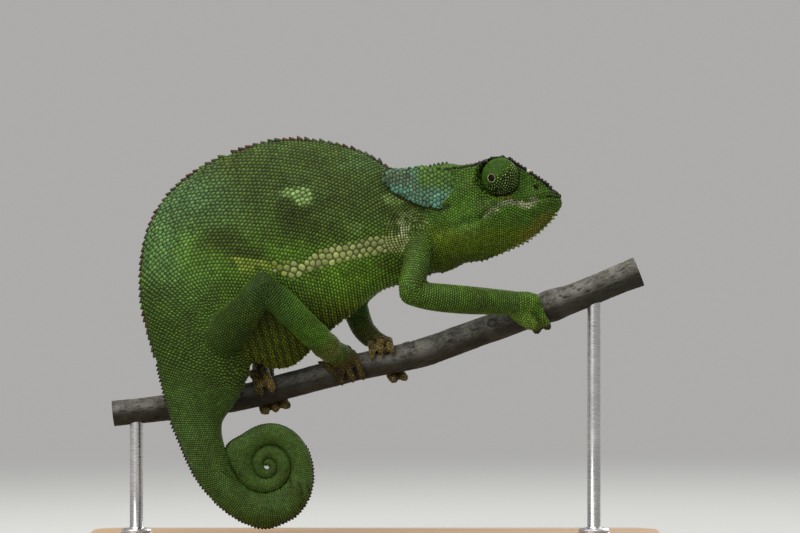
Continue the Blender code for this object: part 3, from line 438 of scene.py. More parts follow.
def half_ring(half, ends, x, lean, sides, grow):
    """A head ring from the points of one side and the two points on the middle line."""
    points = [(0.0, ends[0]), *half, (0.0, ends[1]), *((-w, z) for w, z in reversed(half))]
    points = np.array(points)
    middle = points.mean(axis=0)
    points = middle + (points - middle) * (1 + grow / np.abs(points - middle).max(axis=0))
    outline = round_profile(points, sides)
    z = outline[:, 1]
    return np.stack([x + lean * (z - LEAN_Z), HEAD_Y + outline[:, 0], z], 1)


def limb_rings(rows, sides, grow, round_first=True, round_last=True):
    """Rings square to a limb's path, closing in round at each end."""
    rows = spline(rows, 8)
    path = rows[:, :3]
    along = unit(np.gradient(path, axis=0))
    side, up = square_to(along)
    turn = turns(sides)
    wide, thick = rows[:, 3] + grow, rows[:, 4] + grow
    rings = (path[:, None] + up[:, None] * (wide[:, None] * np.cos(turn))[:, :, None]
             + side[:, None] * (thick[:, None] * np.sin(turn))[:, :, None])
    dome = np.radians([18, 36, 54, 70, 82])
    first = [path[0] + (rings[0] - path[0]) * math.cos(a) - along[0] * wide[0] * math.sin(a) for a in dome[::-1]]
    last = [path[-1] + (rings[-1] - path[-1]) * math.cos(a) + along[-1] * wide[-1] * math.sin(a) for a in dome]
    parts = [rings]
    if round_first:
        parts.insert(0, np.array(first))
    if round_last:
        parts.append(np.array(last))
    return np.concatenate(parts)


BRANCH_FINE = spline(BRANCH, 12)
BRANCH_ALONG = unit(np.gradient(BRANCH_FINE[:, :3], axis=0))


def branch_at(x):
    """The branch's middle, radius and direction at a place along X."""
    row = read_at(x, BRANCH_FINE[:, 0], BRANCH_FINE)
    return row[:3], row[3], unit(read_at(x, BRANCH_FINE[:, 0], BRANCH_ALONG))


def toe_path(spec, at, offset):
    """Centres, outward directions and radii of one toe as it bends round the branch."""
    along = branch_at(at)[2]
    up = np.array([-along[2], 0.0, along[0]])
    near = np.array([0.0, -1.0, 0.0])
    rows = []
    for k in range(TOE_STEPS + 1):
        share = k / TOE_STEPS
        angle = math.radians(spec["from"] + (spec["to"] - spec["from"]) * share)
        out = up * math.cos(angle) + near * math.sin(angle)
        girth = spec["radius"] * (1 - 0.14 * share)
        run = spec["along"][0] + (spec["along"][1] - spec["along"][0]) * share + offset * (1 + 0.12 * share)
        centre, local, _ = branch_at(at + run * along[0])
        rows.append((centre + out * (local + TOE_CLEAR + girth), out, along, girth))
    return rows


def toes_of(foot):
    """The path of each toe of a foot."""
    for bundle in ("outer_toes", "inner_toes"):
        spec = foot[bundle]
        for i in range(spec["toes"]):
            yield toe_path(spec, foot["at"], (i - (spec["toes"] - 1) / 2) * spec["pitch"])


def toe_rings(rows, sides, grow):
    """Rings of one toe, knuckled along its length and round at its tip."""
    turn = turns(sides)
    rings = []
    for k, (centre, out, along, girth) in enumerate(rows):
        pad = 1.0 + 0.07 * math.sin(k / (len(rows) - 1) * 3 * math.pi)
        size = (girth + grow) * pad
        rings.append(centre + size * (out * np.cos(turn)[:, None] + along * np.sin(turn)[:, None]))
    centre, out, along, girth = rows[-1]
    ahead = unit(rows[-1][0] - rows[-2][0])
    base = rings[-1]
    for angle in np.radians([25, 48, 68, 82]):
        shift = ahead * girth * 0.95 * math.sin(angle) - out * girth * 0.1 * math.sin(angle)
        rings.append(centre + (base - centre) * math.cos(angle) + shift)
    return np.array(rings)


def flap_rings(side, grow):
    """Rings across an occipital flap from its rear tip to where it sinks into the head."""
    rows = spline(FLAP, 5)
    levels = np.cos(np.linspace(0, np.pi, 15))
    rings = []
    for i, (x, top, low, out) in enumerate(rows):
        middle, half = (top + low) / 2, (top - low) / 2
        ripple = 0.18 * math.sin(x * 1.1) + 0.1 * math.sin(x * 2.3 + 1.0)
        edge = min(1.0, 0.35 + i / 8, 0.35 + (len(rows) - 1 - i) / 8)
        ring = []
        for sign, part in ((1.0, levels), (-1.0, levels[::-1][1:-1])):
            for level in part:
                bow = 0.5 * (1 - level * level) + ripple * (0.5 - 0.5 * level)
                thick = FLAP_HALF * edge * (1 - abs(level) ** 3.0) ** 0.5 + grow * 0.3
                ring.append((x, HEAD_Y + side * (out + bow + sign * max(thick, 0.03)), middle + half * level))
        rings.append(ring)
    rings = np.array(rings)
    caps = []
    for end, inner in ((0, 1), (-1, -2)):
        middle = rings[end].mean(axis=0)
        shift = (rings[end][0] - rings[inner][0])[0]
        steps = [middle + (rings[end] - middle) * size + np.array([shift * reach, 0.0, 0.0])
                 for size, reach in ((0.8, 0.35), (0.45, 0.6), (0.12, 0.7))]
        caps.append(steps)
    return np.concatenate([np.array(caps[0][::-1]), rings, np.array(caps[1])])


def turned_rings(outline, steps, place, look, sides):
    """A smooth outline of radius and height turned round an axis through a place."""
    axis = unit(np.array(look))
    across = unit(np.cross(axis, [0.0, 0.0, 1.0]))
    up = np.cross(across, axis)
    rows = spline(outline, steps)
    turn = turns(sides)
    spin = across * np.cos(turn)[:, None] + up * np.sin(turn)[:, None]
    return np.array([place + axis * height + spin * max(radius, 0.02) for radius, height in rows])


def turret_place(side):
    """The middle of one eye turret."""
    return np.array([TURRET_X, HEAD_Y + (-1.0 if side == "right" else 1.0) * TURRET_OUT, TURRET_Z])


# The flesh's forms: rings with their region and how far along it each ring is

FORMS = []
AXES = {}


def add_form(rings, region, stations, kind="flesh"):
    """Keeps one closed form."""
    FORMS.append({"rings": rings, "region": region, "stations": np.asarray(stations, float), "kind": kind})


def add_axis(region, centres, ups, sides, stations):
    """Keeps a region's axis, or adds another stretch to it."""
    along = unit(np.gradient(centres, axis=0))
    stretch = {"centre": centres, "up": ups, "side": sides, "along": along, "s": np.asarray(stations, float)}
    if region in AXES:
        stretch = {key: np.concatenate([AXES[region][key], value]) for key, value in stretch.items()}
    AXES[region] = stretch


def walk(centres, start=0.0):
    """How far along a path each of its points is."""
    return start + np.concatenate([[0.0], np.cumsum(np.linalg.norm(np.diff(centres, axis=0), axis=1))])


def gather_body(grow):
    """The forms and axes of trunk and tail, and how far along them the tail and the coil begin."""
    rows, join = body_rows()
    split = (TORSO_END + 1) * BODY_STEPS
    centres = body_rings(rows, BODY_SIDES, grow).mean(axis=1)
    stations = walk(centres)
    ups = unit(np.stack([rows[:, 2] - rows[:, 0], np.zeros(len(rows)), rows[:, 3] - rows[:, 1]], 1))
    place = np.arange(len(rows)) - join
    swell = (COAT_DEPTH - COIL_DEPTH) * soft_step(place, -74, -50)
    flesh = body_rings(rows, BODY_SIDES, grow + swell - 0.8 * soft_step(place, 1, 7))
    coil = body_rings(rows, BODY_SIDES, -0.9 + (0.9 - COIL_DEPTH) * soft_step(place, -4.2, -2.2))
    add_form(flesh[:join + 8], "body", stations[:join + 8])
    add_form(coil[join - 8:], "tail", stations[join - 8:], "coil")
    for region, part in (("trunk", slice(None, split + 8)), ("tail", slice(split - 8, None))):
        add_axis(region, centres[part], ups[part], repeated((0, 1, 0), len(centres[part])), stations[part])
    return stations[split], stations[join - 2]


def gather_head(grow):
    """The forms and the axis of the head."""
    rows = head_rows()
    spine = np.stack([rows[:, 0], np.full(len(rows), HEAD_Y), read_line(MOUTH, rows[:, 0]) + 2.0], 1)
    stations = walk(spine)
    for rings_of in (skull_rings, jaw_rings):
        add_form(rings_of(rows, 64, grow), "head", stations)
    add_axis("head", spine, repeated((0, 0, 1), len(rows)), repeated((0, 1, 0), len(rows)), stations)


def gather_leg(name, parts, grow):
    """The forms and axes of one leg and its foot."""
    start = 0.0
    for part in ("upper", "lower"):
        rings = limb_rings(parts[part], 40, grow, True, part == "upper")
        centres = rings.mean(axis=1)
        stations = walk(centres, start)
        side, up = square_to(unit(np.gradient(centres, axis=0)))
        add_form(rings, name, stations)
        add_axis(name, centres, up, side, stations)
        start = stations[-1] - (8.0 if part == "upper" else 0.0)
    region, at = f"{name}_foot", FEET[name]["at"]
    forms = [limb_rings(parts["foot"], 36, grow, False, True)]
    if "heel" in parts:
        forms.append(limb_rings(parts["heel"], 32, grow))
    forms += [toe_rings(path, 24, grow) for path in toes_of(FEET[name])]
    for rings in forms:
        add_form(rings, region, rings.mean(axis=1)[:, 0] - at)
    near = np.abs(BRANCH_FINE[:, 0] - at) < 16.0
    middle, along = BRANCH_FINE[near][:, :3], BRANCH_ALONG[near]
    up = np.stack([-along[:, 2], np.zeros(len(along)), along[:, 0]], 1)
    add_axis(region, middle, up, repeated((0, -1, 0), len(up)), middle[:, 0] - at)


def gather_forms():
    """All forms of the flesh and the axes of their regions, and where the tail and the coil begin."""
    grow = -COAT_DEPTH
    marks = gather_body(grow)
    gather_head(grow)
    for name, parts in LEGS.items():
        gather_leg(name, parts, grow)
    for side in LOOKS:
        sign = -1.0 if side == "right" else 1.0
        flap = flap_rings(sign, grow)
        middle = flap.mean(axis=1)
        add_form(flap, f"flap_{side}", walk(middle), "sheet")
        count = len(middle)
        add_axis(f"flap_{side}", middle, repeated((0, 0, 1), count), repeated((0, sign, 0), count), walk(middle))
        lid = turned_rings(TURRET_OUTLINE, 4, turret_place(side), LOOKS[side], 64)
        add_form(lid, f"lid_{side}", np.arange(len(lid)), "lid")
    return marks


def closed_faces(ring_count, sides, first=0):
    """Faces of a closed body through rings: quads with a fan of one face at each end."""
    i = np.arange(sides)
    j = (i + 1) % sides
    rows = np.arange(ring_count - 1)[:, None] * sides + first
    quads = np.stack([rows + i, rows + j, rows + sides + j, rows + sides + i], -1).reshape(-1, 4)
    caps = [(first + i)[::-1].tolist(), (first + (ring_count - 1) * sides + i).tolist()]
    return quads.tolist() + caps


def joined_rings(rings_list):
    """The points of several closed bodies through rings, and the faces of each body."""
    faces, total = [], 0
    for rings in rings_list:
        count, sides = rings.shape[:2]
        faces.append(closed_faces(count, sides, total))
        total += count * sides
    return np.concatenate([rings.reshape(-1, 3) for rings in rings_list]), faces


def flesh_forms():
    """The forms that are fused into one body."""
    return [form for form in FORMS if form["kind"] == "flesh"]


def middle_stations(form):
    """The station of each band of faces between a form's rings."""
    return (form["stations"][:-1] + form["stations"][1:]) / 2


def set_out(name, data):
    """A new object in the scene."""
    item = bpy.data.objects.new(name, data)
    bpy.context.collection.objects.link(item)
    return item


def plain_copy(item):
    """The mesh of an object after its modifiers; the object itself goes."""
    mesh = bpy.data.meshes.new_from_object(item.evaluated_get(bpy.context.evaluated_depsgraph_get()))
    bpy.data.objects.remove(item, do_unlink=True)
    return mesh


def face_outward(mesh):
    """Turns the faces of closed bodies outward."""
    form = bmesh.new()
    form.from_mesh(mesh)
    bmesh.ops.recalc_face_normals(form, faces=form.faces)
    form.to_mesh(mesh)
    form.free()


def mesh_of(name, points, faces, scale=MM):
    """A mesh from points in millimetres."""
    mesh = bpy.data.meshes.new(name)
    mesh.from_pydata((np.asarray(points) * scale).tolist(), [], faces)
    mesh.update()
    return mesh


def point_normals(points, quads):
    """The direction that the surface faces at each point."""
    a, b = points[quads[:, 2]] - points[quads[:, 0]], points[quads[:, 3]] - points[quads[:, 1]]
    normal = np.cross(a, b)
    result = np.zeros_like(points)
    for corner in range(4):
        np.add.at(result, quads[:, corner], normal)
    return unit(result)


def fused_flesh():
    """Head, trunk, tail and legs fused into one body of even small faces."""
    points, faces = joined_rings([form["rings"] for form in flesh_forms()])
    mesh = mesh_of("flesh_forms", points, sum(faces, []), 1.0)
    face_outward(mesh)
    item = set_out("flesh_forms", mesh)
    step = item.modifiers.new("fuse", "REMESH")
    step.mode = "VOXEL"
    step.voxel_size = VOXEL
    fused = plain_copy(item)
    points = np.empty(len(fused.vertices) * 3)
    fused.vertices.foreach_get("co", points)
    corners = np.empty(len(fused.loops), int)
    fused.loops.foreach_get("vertex_index", corners)
    bpy.data.meshes.remove(fused)
    return points.reshape(-1, 3), corners.reshape(-1, 4)


def edges_of(quads):
    """Every edge once."""
    pairs = np.concatenate([quads[:, [0, 1]], quads[:, [1, 2]], quads[:, [2, 3]], quads[:, [3, 0]]])
    return np.unique(np.sort(pairs, axis=1), axis=0)


def drawn_in(points, edges, pull, weight):
    """Points moved towards the middle of their neighbours, or away from it where the pull is negative."""
    count = np.bincount(edges.ravel(), minlength=len(points))[:, None].astype(float)
    total = np.zeros_like(points)
    for axis in range(3):
        total[:, axis] = (np.bincount(edges[:, 0], points[edges[:, 1], axis], len(points))
                          + np.bincount(edges[:, 1], points[edges[:, 0], axis], len(points)))
    return points + (total / count - points) * pull * weight[:, None]


# Places where flesh runs from one part into another: X, Y, Z, reach and strength
JOINTS = [
    (13.0, -9.0, 98.0, 11.0, 1.0), (12.0, 4.0, 96.0, 10.0, 1.0), (-46.0, -14.0, 67.0, 11.0, 1.0),
    (-42.0, 0.0, 68.0, 11.0, 1.0), (14.0, -8.0, 112.0, 9.0, 0.7), (14.0, 4.0, 112.0, 9.0, 0.7),
    (16.0, -6.0, 92.0, 9.0, 0.9), (-33.2, -20.6, 83.6, 5.0, 0.5), (10.9, -18.0, 81.8, 5.0, 0.4),
    (-66.0, -10.0, 62.0, 8.0, 0.6), (-38.0, -12.0, 50.0, 8.0, 0.6),
]
JOINT_ROUNDS = 14


def soften_joints(points, edges):
    """Rounds the creases where legs, neck and tail leave the body."""
    weight = np.zeros(len(points))
    for x, y, z, reach, strength in JOINTS:
        distance = np.linalg.norm(points - np.array([x, y, z]), axis=1)
        weight = np.maximum(weight, strength * (1 - soft_step(distance, reach * 0.5, reach)))
    for _ in range(JOINT_ROUNDS):
        points = drawn_in(points, edges, 0.5, weight)
    return points


def line_distance(places, line):
    """How far flat places lie from a line of points, and how far along it."""
    line = np.array(line, float)
    best = np.full(len(places), 1e9)
    where = np.zeros(len(places))
    walked = 0.0
    for a, b in zip(line, line[1:]):
        length = np.linalg.norm(b - a)
        share = np.clip(((places - a) @ (b - a)) / length ** 2, 0.0, 1.0)
        distance = np.linalg.norm(places - (a + share[:, None] * (b - a)), axis=1)
        closer = distance < best
        best[closer] = distance[closer]
        where[closer] = walked + share[closer] * length
        walked += length
    return best, where


def belly_wave(x, z):
    """The folds across the belly, from -1 in a groove to 1 on a fold."""
    return np.sin((x + 0.25 * z) * 2 * np.pi / BELLY_FOLD_STEP)


def shoulder_reach(x, z):
    """How far places lie from the middle of the folds round the shoulder."""
    reach = np.hypot(x - SHOULDER_X, z - SHOULDER_Z)
    return reach - fold_wave(np.arctan2(z - SHOULDER_Z, x - SHOULDER_X), reach)


def sculpt(points, quads):
    """Presses the mouth line, the sockets, the folds of the skin and the soft ribs into the surface."""
    normals = point_normals(points, quads)
    flat = points[:, [0, 2]]
    x, y, z = points.T
    push = np.zeros(len(points))
    on_head = (x > MOUTH_END) & (z > 95.0)
    gap, _ = line_distance(flat, [row for row in MOUTH if row[0] >= MOUTH_END - 1.0])
    push -= 0.42 * np.exp(-(gap / 0.55) ** 2) * on_head
    push += 0.16 * np.exp(-((gap - 1.5) / 0.8) ** 2) * on_head
    for side in LOOKS:
        place, axis = turret_place(side), unit(np.array(LOOKS[side]))
        rel = points - place
        along = rel @ axis
        radial = np.linalg.norm(rel - along[:, None] * axis, axis=1)
        near = (along > -3.0) & (np.linalg.norm(rel, axis=1) < 11.0)
        inside = near & (radial < 5.95)
        target = np.where(radial < 5.5, -2.6, -2.6 + (radial - 5.5) * 5.8)
        drop = np.minimum(0.0, target - along) * inside
        points = points + drop[:, None] * axis
        push += 0.3 * np.exp(-((radial - 6.5) / 0.5) ** 2) * near * (z > 110)
    for pit in NOSTRILS:
        gap = np.linalg.norm(points - pit, axis=1)
        push -= 0.5 * np.exp(-(gap / 0.7) ** 2)
        push += 0.15 * np.exp(-((gap - 1.3) / 0.5) ** 2)
    shoulder = shoulder_reach(x, z)
    ring = np.sin(shoulder * np.pi / FOLD_STEP) * np.exp(-((shoulder - 7.0) / 3.2) ** 2)
    push += 0.12 * ring * (z > 92.0) * (z < 109.0) * (x < 21.0) * (x > 0.0) * (np.abs(y + 3.5) > 5.0)
    belly = soft_step(-z, -82.0, -70.0) * (x > -42.0) * (x < 4.0) * (np.abs(y + 5.0) < 11.5)
    push += 0.13 * belly_wave(x, z) * belly
    rib = np.sin((x * 0.94 + z * 0.3) * 2 * np.pi / 6.4)
    flank = np.exp(-((z - 94.0) / 15.0) ** 2) * (x < -2.0) * (x > -62.0)
    push += 0.16 * rib * flank
    return points + normals * push[:, None]


def label_faces(centres):
    """The region and station of each place on the skin, from the nearest form."""
    flesh = flesh_forms()
    points, faces = joined_rings([form["rings"] for form in flesh])
    tree = BVHTree.FromPolygons(points.tolist(), [face for body in faces for face in body[:-2]])
    labels = np.concatenate([np.full(len(body) - 2, form["region"]) for form, body in zip(flesh, faces)])
    stations = np.concatenate([np.repeat(middle_stations(form), form["rings"].shape[1]) for form in flesh])
    hits = np.array([tree.find_nearest(place)[2] for place in centres.tolist()])
    return labels[hits], stations[hits]


def axis_picks(places, region, near, window=7.0):
    """The nearest point of a region's axis to each place, close to a known station."""
    axis = AXES[region]
    picks = np.empty(len(places), int)
    for start in range(0, len(places), 6000):
        part = slice(start, start + 6000)
        far = ((places[part, None] - axis["centre"][None]) ** 2).sum(axis=2)
        far[np.abs(near[part, None] - axis["s"][None]) > window] += 1e6
        picks[part] = far.argmin(axis=1)
    return picks


def on_axis(places, region, picks):
    """Length along a region's axis and angle round it."""
    axis = AXES[region]
    rel = places - axis["centre"][picks]
    angle = np.arctan2(dots(rel, axis["side"][picks]), dots(rel, axis["up"][picks]))
    return axis["s"][picks] + dots(rel, axis["along"][picks]), angle


def tile_place(region, length, angle):
    """The place of a length and an angle on the flat map of the skin."""
    left, low, right, top = TILES[region]
    if region.startswith("lid"):
        span = (0.0, len(turned_rings(TURRET_OUTLINE, 4, np.zeros(3), (0, 0, 1), 3)))
    else:
        span = (AXES[region]["s"].min() - 2.0, AXES[region]["s"].max() + 2.0)
    share = np.clip((length - span[0]) / (span[1] - span[0]), 0.0, 1.0)
    turn = np.clip(angle / (2 * np.pi) + 0.5, 0.0, 1.0)
    return np.stack([left + (right - left) * share, low + (top - low) * turn], -1)


# Colours on a scale of 0 to 255, turned to Blender's linear scale

def linear(colour):
    """A colour of 0 to 255 in Blender's linear scale."""
    share = np.asarray(colour, float) / 255.0
    return np.where(share <= 0.04045, share / 12.92, ((share + 0.055) / 1.055) ** 2.4)


# Some tones are painted shade: the belly fold tone in the belly's folds and under the flaps, the thigh tone on the
# thigh towards the hip, the nostril tone in the nostrils, and the dark spot tone also round the eye turrets
TONES = {
    "flank": (72, 103, 25), "upper flank": (61, 81, 30), "olive": (55, 66, 18), "turquoise": (74, 104, 63),
    "stripe": (122, 131, 77), "yellow green": (106, 122, 42), "spot": (112, 139, 80), "dark spot": (43, 55, 8),
    "shoulder": (153, 162, 126), "belly": (84, 95, 7), "belly fold": (36, 43, 5), "neck": (68, 88, 27),
    "head": (63, 94, 23), "crown": (48, 61, 26), "ridge": (46, 42, 40), "lip": (153, 153, 132),
    "throat": (83, 103, 15), "chin": (112, 106, 32), "pale granule": (196, 190, 176), "flap": (85, 128, 108),
    "flap front": (76, 106, 48), "flap rear": (68, 81, 60), "flap fleck": (92, 72, 54), "lid": (52, 86, 6),
    "lid dark": (17, 34, 5), "lid ring": (142, 146, 96), "lid dot": (116, 139, 62), "pupil": (2, 2, 2),
    "iris": (142, 146, 96), "nostril": (8, 7, 5), "foreleg": (79, 110, 33), "hindleg": (66, 99, 26),
    "thigh shade": (47, 67, 6), "knee": (38, 58, 11), "tail": (54, 77, 18), "coil": (64, 90, 34),
    "toe": (116, 99, 54), "toe dark": (40, 30, 16), "hind toe": (80, 68, 33), "near toe": (92, 113, 38),
    "back crest": (58, 62, 44), "red crest": (64, 42, 32), "tail crest": (26, 18, 13), "cone": (158, 160, 132),
}

# Markings as seen from the side. The stripe: X, Z, half width. The ovals: tone, X, Z, their
# reach along X and Z, how strong they are and how soft their edge is; without a tone they brighten, as painted light
STRIPE = [(13.0, 96.4, 1.6), (6.0, 96.2, 2.4), (0.0, 95.8, 2.6), (-6.0, 94.4, 2.3), (-12.0, 93.4, 2.6),
          (-17.0, 91.2, 2.5), (-20.0, 89.6, 1.2), (-24.5, 88.5, 2.6), (-29.0, 89.2, 1.4), (-34.0, 90.0, 1.3),
          (-39.0, 90.6, 1.5), (-42.5, 91.8, 0.7)]
STRIPE_REAR = -30.0
LIP_BAND = [(33.2, 104.9), (35.6, 106.8), (38.0, 108.3), (40.6, 109.0), (43.5, 108.9)]
TRUNK_PATCHES = [
    ("turquoise", -62.0, 112.0, 16.0, 8.0, 0.75, 0.6), ("turquoise", -66.0, 97.0, 8.0, 14.0, 0.75, 0.6),
    ("turquoise", -50.0, 104.0, 12.0, 9.0, 0.35, 0.6), ("turquoise", -2.0, 121.0, 7.0, 4.0, 0.4, 0.6),
    ("turquoise", -58.0, 84.0, 13.0, 9.0, 0.3, 0.6), ("dark spot", -25.0, 105.0, 5.0, 4.2, 0.9, 0.5),
    ("dark spot", -45.0, 97.0, 6.5, 4.0, 0.7, 0.5), ("dark spot", -18.0, 99.5, 8.0, 3.5, 0.45, 0.5),
    ("dark spot", -38.0, 93.5, 5.0, 2.5, 0.8, 0.5), ("dark spot", -10.0, 110.0, 7.0, 4.5, 0.15, 0.5),
    ("dark spot", 5.0, 105.5, 4.0, 2.5, 0.5, 0.5), ("dark spot", 6.0, 90.5, 5.0, 3.0, 0.4, 0.5),
    ("dark spot", -6.0, 88.0, 5.0, 2.5, 0.25, 0.5),
]
TRUNK_SPOTS = [
    ("spot", -21.5, 110.6, 3.0, 2.8, 0.95, 0.25), ("spot", -25.6, 111.6, 3.2, 1.4, 0.85, 0.3),
    ("spot", 6.2, 109.8, 3.6, 2.0, 0.7, 0.4),
]
# Painted light: ovals that brighten parts of the trunk
TRUNK_PAINTED_LIGHT = [
    ("", -5.0, 83.5, 13.0, 7.0, 0.25, 0.6), ("", -60.0, 94.0, 8.0, 11.0, 0.06, 0.6),
    ("", 14.6, 99.0, 4.0, 6.0, 0.18, 0.6),
]
# Painted light: ovals that brighten parts of the head
HEAD_PAINTED_LIGHT = [("", 27.5, 103.5, 5.0, 3.5, 0.1, 0.6), ("", 44.0, 101.0, 10.0, 5.0, 0.09, 0.6)]
FLAP_EDGE = [(row[0], row[2] - 0.4) for row in FLAP[:-1]]


def cloud(places, size, seed, depth=2):
    """Soft noise of about -1 to 1 over places, with features of a size."""
    scaled = (places / size + seed * 7.31).tolist()
    return np.array([noise.fractal(Vector(place), 1.0, 2.0, depth) for place in scaled])


def oval(x, z, middle_x, middle_z, reach_x, reach_z, edge=0.35):
    """One inside an oval seen from the side, fading to zero at its edge."""
    distance = np.hypot((x - middle_x) / reach_x, (z - middle_z) / reach_z)
    return 1 - soft_step(distance, 1 - edge, 1 + edge)


def paint(colours, tone, mask):
    """Lays a tone over colours where a mask is."""
    return colours + (np.array(TONES[tone], float) - colours) * np.clip(mask, 0.0, 1.0)[:, None]


def paint_all(colours, *layers):
    """Lays several tones over colours, each where its mask is."""
    for tone, mask in layers:
        colours = paint(colours, tone, mask)
    return colours


def paint_ovals(colours, x, z, ovals):
    """Lays a table of ovals over colours; those without a tone brighten them, as painted light."""
    for tone, middle_x, middle_z, reach_x, reach_z, share, edge in ovals:
        mask = share * oval(x, z, middle_x, middle_z, reach_x, reach_z, edge)
        # Without a tone, the oval brightens the colours as painted light
        colours = paint(colours, tone, mask) if tone else colours * (1 + mask)[:, None]
    return colours


def stripe_mask(x, z):
    """The pale stripe along the flank."""
    line = np.array(STRIPE)
    gap, along = line_distance(np.stack([x, z], 1), line[:, :2])
    half = np.interp(along, walk(line[:, :2]), line[:, 2])
    return 1 - soft_step(gap / half, 0.85, 1.1)


def lid_tilt(places, side):
    """How far places on an eye turret lie towards its top and rear."""
    rel = places - turret_place(side)
    return (rel[:, 2] - 0.75 * rel[:, 0]) / 5.6


def nostril_gap(places):
    """How far places are from the nearer nostril."""
    return np.minimum(*(np.linalg.norm(places - pit, axis=1) for pit in NOSTRILS))


def flap_shade(x, z):
    """Painted shade: the dark groove in which the lower edge of a flap lies."""
    gap, _ = line_distance(np.stack([x, z], 1), FLAP_EDGE)
    return 1 - soft_step(gap, 0.35, 1.0)


def crown_mask(x, z):
    """The top of the head above its side ridges."""
    return soft_step(z - read_line(HEAD, x, 3), -1.3, -0.3) * soft_step(x, 16.0, 20.0)


def trunk_marking(places, station, split, noises):
    """The colours of the trunk."""
    x, _, z = places.T
    soft, fine, x_soft, z_soft = noises
    low = soft_step(-z, -84.0, -72.0) * soft_step(x, -44.0, -36.0)
    worn = soft_step(fine + 0.6 * soft, -0.5, 0.35)
    colours = paint_all(
        repeated(TONES["flank"], len(places)),
        ("upper flank", soft_step(z, 92, 108)), ("olive", 0.35 * soft_step(soft, 0.0, 0.5)))
    colours = paint_ovals(colours, x_soft, z_soft, TRUNK_PATCHES)
    colours = paint_all(
        colours,
        ("neck", 0.6 * soft_step(x + (z - 100) * 0.2, 2, 10)), ("belly", 0.9 * low),
        # Painted shade: dark stripes along the belly folds
        ("belly fold", 0.65 * low * soft_step(belly_wave(x, z), 0.1, 0.8)),
        ("dark spot", 0.35 * oval(x, z, 9.5, 101.0, 6.5, 7.0, 0.4)),
        ("shoulder", 0.85 * worn * oval(x_soft, z_soft, 8.2, 98.6, 3.0, 4.2, 0.5)),
        ("shoulder", 0.4 * worn * oval(x_soft, z_soft, 10.5, 103.6, 6.5, 2.8, 0.5)))
    colours = paint_ovals(colours, x, z, TRUNK_SPOTS)
    colours = paint_all(
        colours,
        ("spot", 0.45 * oval(x_soft, z_soft, -5.6, 101.0, 2.4, 1.6, 0.5)),
        ("stripe", 0.97 * stripe_mask(x, z) * (x > STRIPE_REAR)),
        ("yellow green", 0.85 * stripe_mask(x_soft, z_soft) * soft_step(-x, 25.0, 29.0)),
        ("yellow green", 0.5 * oval(x, z, -38.5, 88.6, 2.6, 2.0, 0.4)))
    # Painted light: brightens parts of the trunk
    colours = paint_ovals(colours, x, z, TRUNK_PAINTED_LIGHT)
    return paint_all(
        colours,
        # Painted shade under the lower edge of the flap
        ("tail", 0.7 * soft_step(station, split - 26.0, split - 6.0)), ("belly fold", 0.85 * flap_shade(x, z)))


def head_marking(places, noises):
    """The colours of the head, the jaw and the throat."""
    x, y, z = places.T
    soft, fine, x_soft, z_soft = noises
    above_ridge = z - read_line(HEAD, x, 3)
    colours = paint_all(
        repeated(TONES["head"], len(places)),
        ("olive", 0.4 * soft_step(soft, 0.1, 0.6)),
        ("crown", crown_mask(x, z) * (0.35 + 0.65 * soft_step(x, 25.0, 30.0))),
        ("ridge", 0.8 * soft_step(above_ridge + 0.3 * fine, -1.6, -0.8)
         * soft_step(x, 35.0, 42.0) * soft_step(-x, -56.5, -53.5)),
        ("throat", soft_step(-z, -104.0, -99.0)),
        ("chin", 0.7 * soft_step(x - z * 0.9, -47.5, -43.0) * soft_step(-z, -108.0, -104.0)),
        ("olive", 0.4 * soft_step(-z, -95.0, -91.0)),
        ("turquoise", 0.35 * oval(x_soft, z_soft, 27.5, 101.0, 4.0, 3.0, 0.6)))
    # Painted light: brightens parts of the head
    colours = paint_ovals(colours, x, z, HEAD_PAINTED_LIGHT)
    band, _ = line_distance(np.stack([x, z], 1), LIP_BAND)
    rings = [np.linalg.norm(places - turret_place(side), axis=1) for side in LOOKS]
    return paint_all(
        colours,
        ("lip", 0.75 * (1 - soft_step(band + 0.8 * fine, 0.5, 1.1))),
        ("lip", 0.7 * oval(x + 0.7 * fine, z + 0.5 * soft, 45.3, 107.8, 2.6, 1.1, 0.4)),
        ("lip", 0.6 * oval(x, z + 0.6 * fine, 47.6, 109.3, 1.7, 0.9, 0.4)),
        ("chin", 0.5 * oval(x_soft, z, 38.5, 110.2, 3.0, 0.9, 0.4)),
        # Painted shade in a ring round each eye turret's socket
        *(("dark spot", 0.6 * (1 - soft_step(ring, 5.8, 6.2))) for ring in rings),
        # Painted shade in the nostril holes, on the skin round them
        ("nostril", 1 - soft_step(nostril_gap(places), 0.7, 0.95)),
        # Painted shade under the lower edge of each flap
        ("belly fold", 0.85 * flap_shade(x, z) * (np.abs(y - HEAD_Y) > 5.0)))


def foot_marking(places, region, noises):
    """The colours of one foot: green above, horn brown towards the tips of the toes."""
    x, _, z = places.T
    near = region == "right_foreleg_foot"
    centre = branch_at(float(FEET[region[:-5]]["at"]))[0]
    deep = np.linalg.norm(places - centre, axis=1)
    if near:
        dark = 0.8 * soft_step(centre[2] + 0.4 * (x - centre[0]) - z, 5.0, 6.2)
        green = soft_step(z - centre[2], -5.0, 1.0)
    else:
        dark = 0.6 * soft_step(cloud(places, 1.9, 10), 0.0, 0.5)
        green = 0.7 * soft_step(deep, 8.0, 11.0)
    tone = "near toe" if near else "hind toe" if region == "right_hindleg_foot" else "toe"
    return paint_all(
        repeated(TONES[tone], len(places)),
        ("olive", 0.3 * soft_step(noises[0], 0.0, 0.6)), ("toe dark", dark),
        ("foreleg" if near else "hindleg", green))


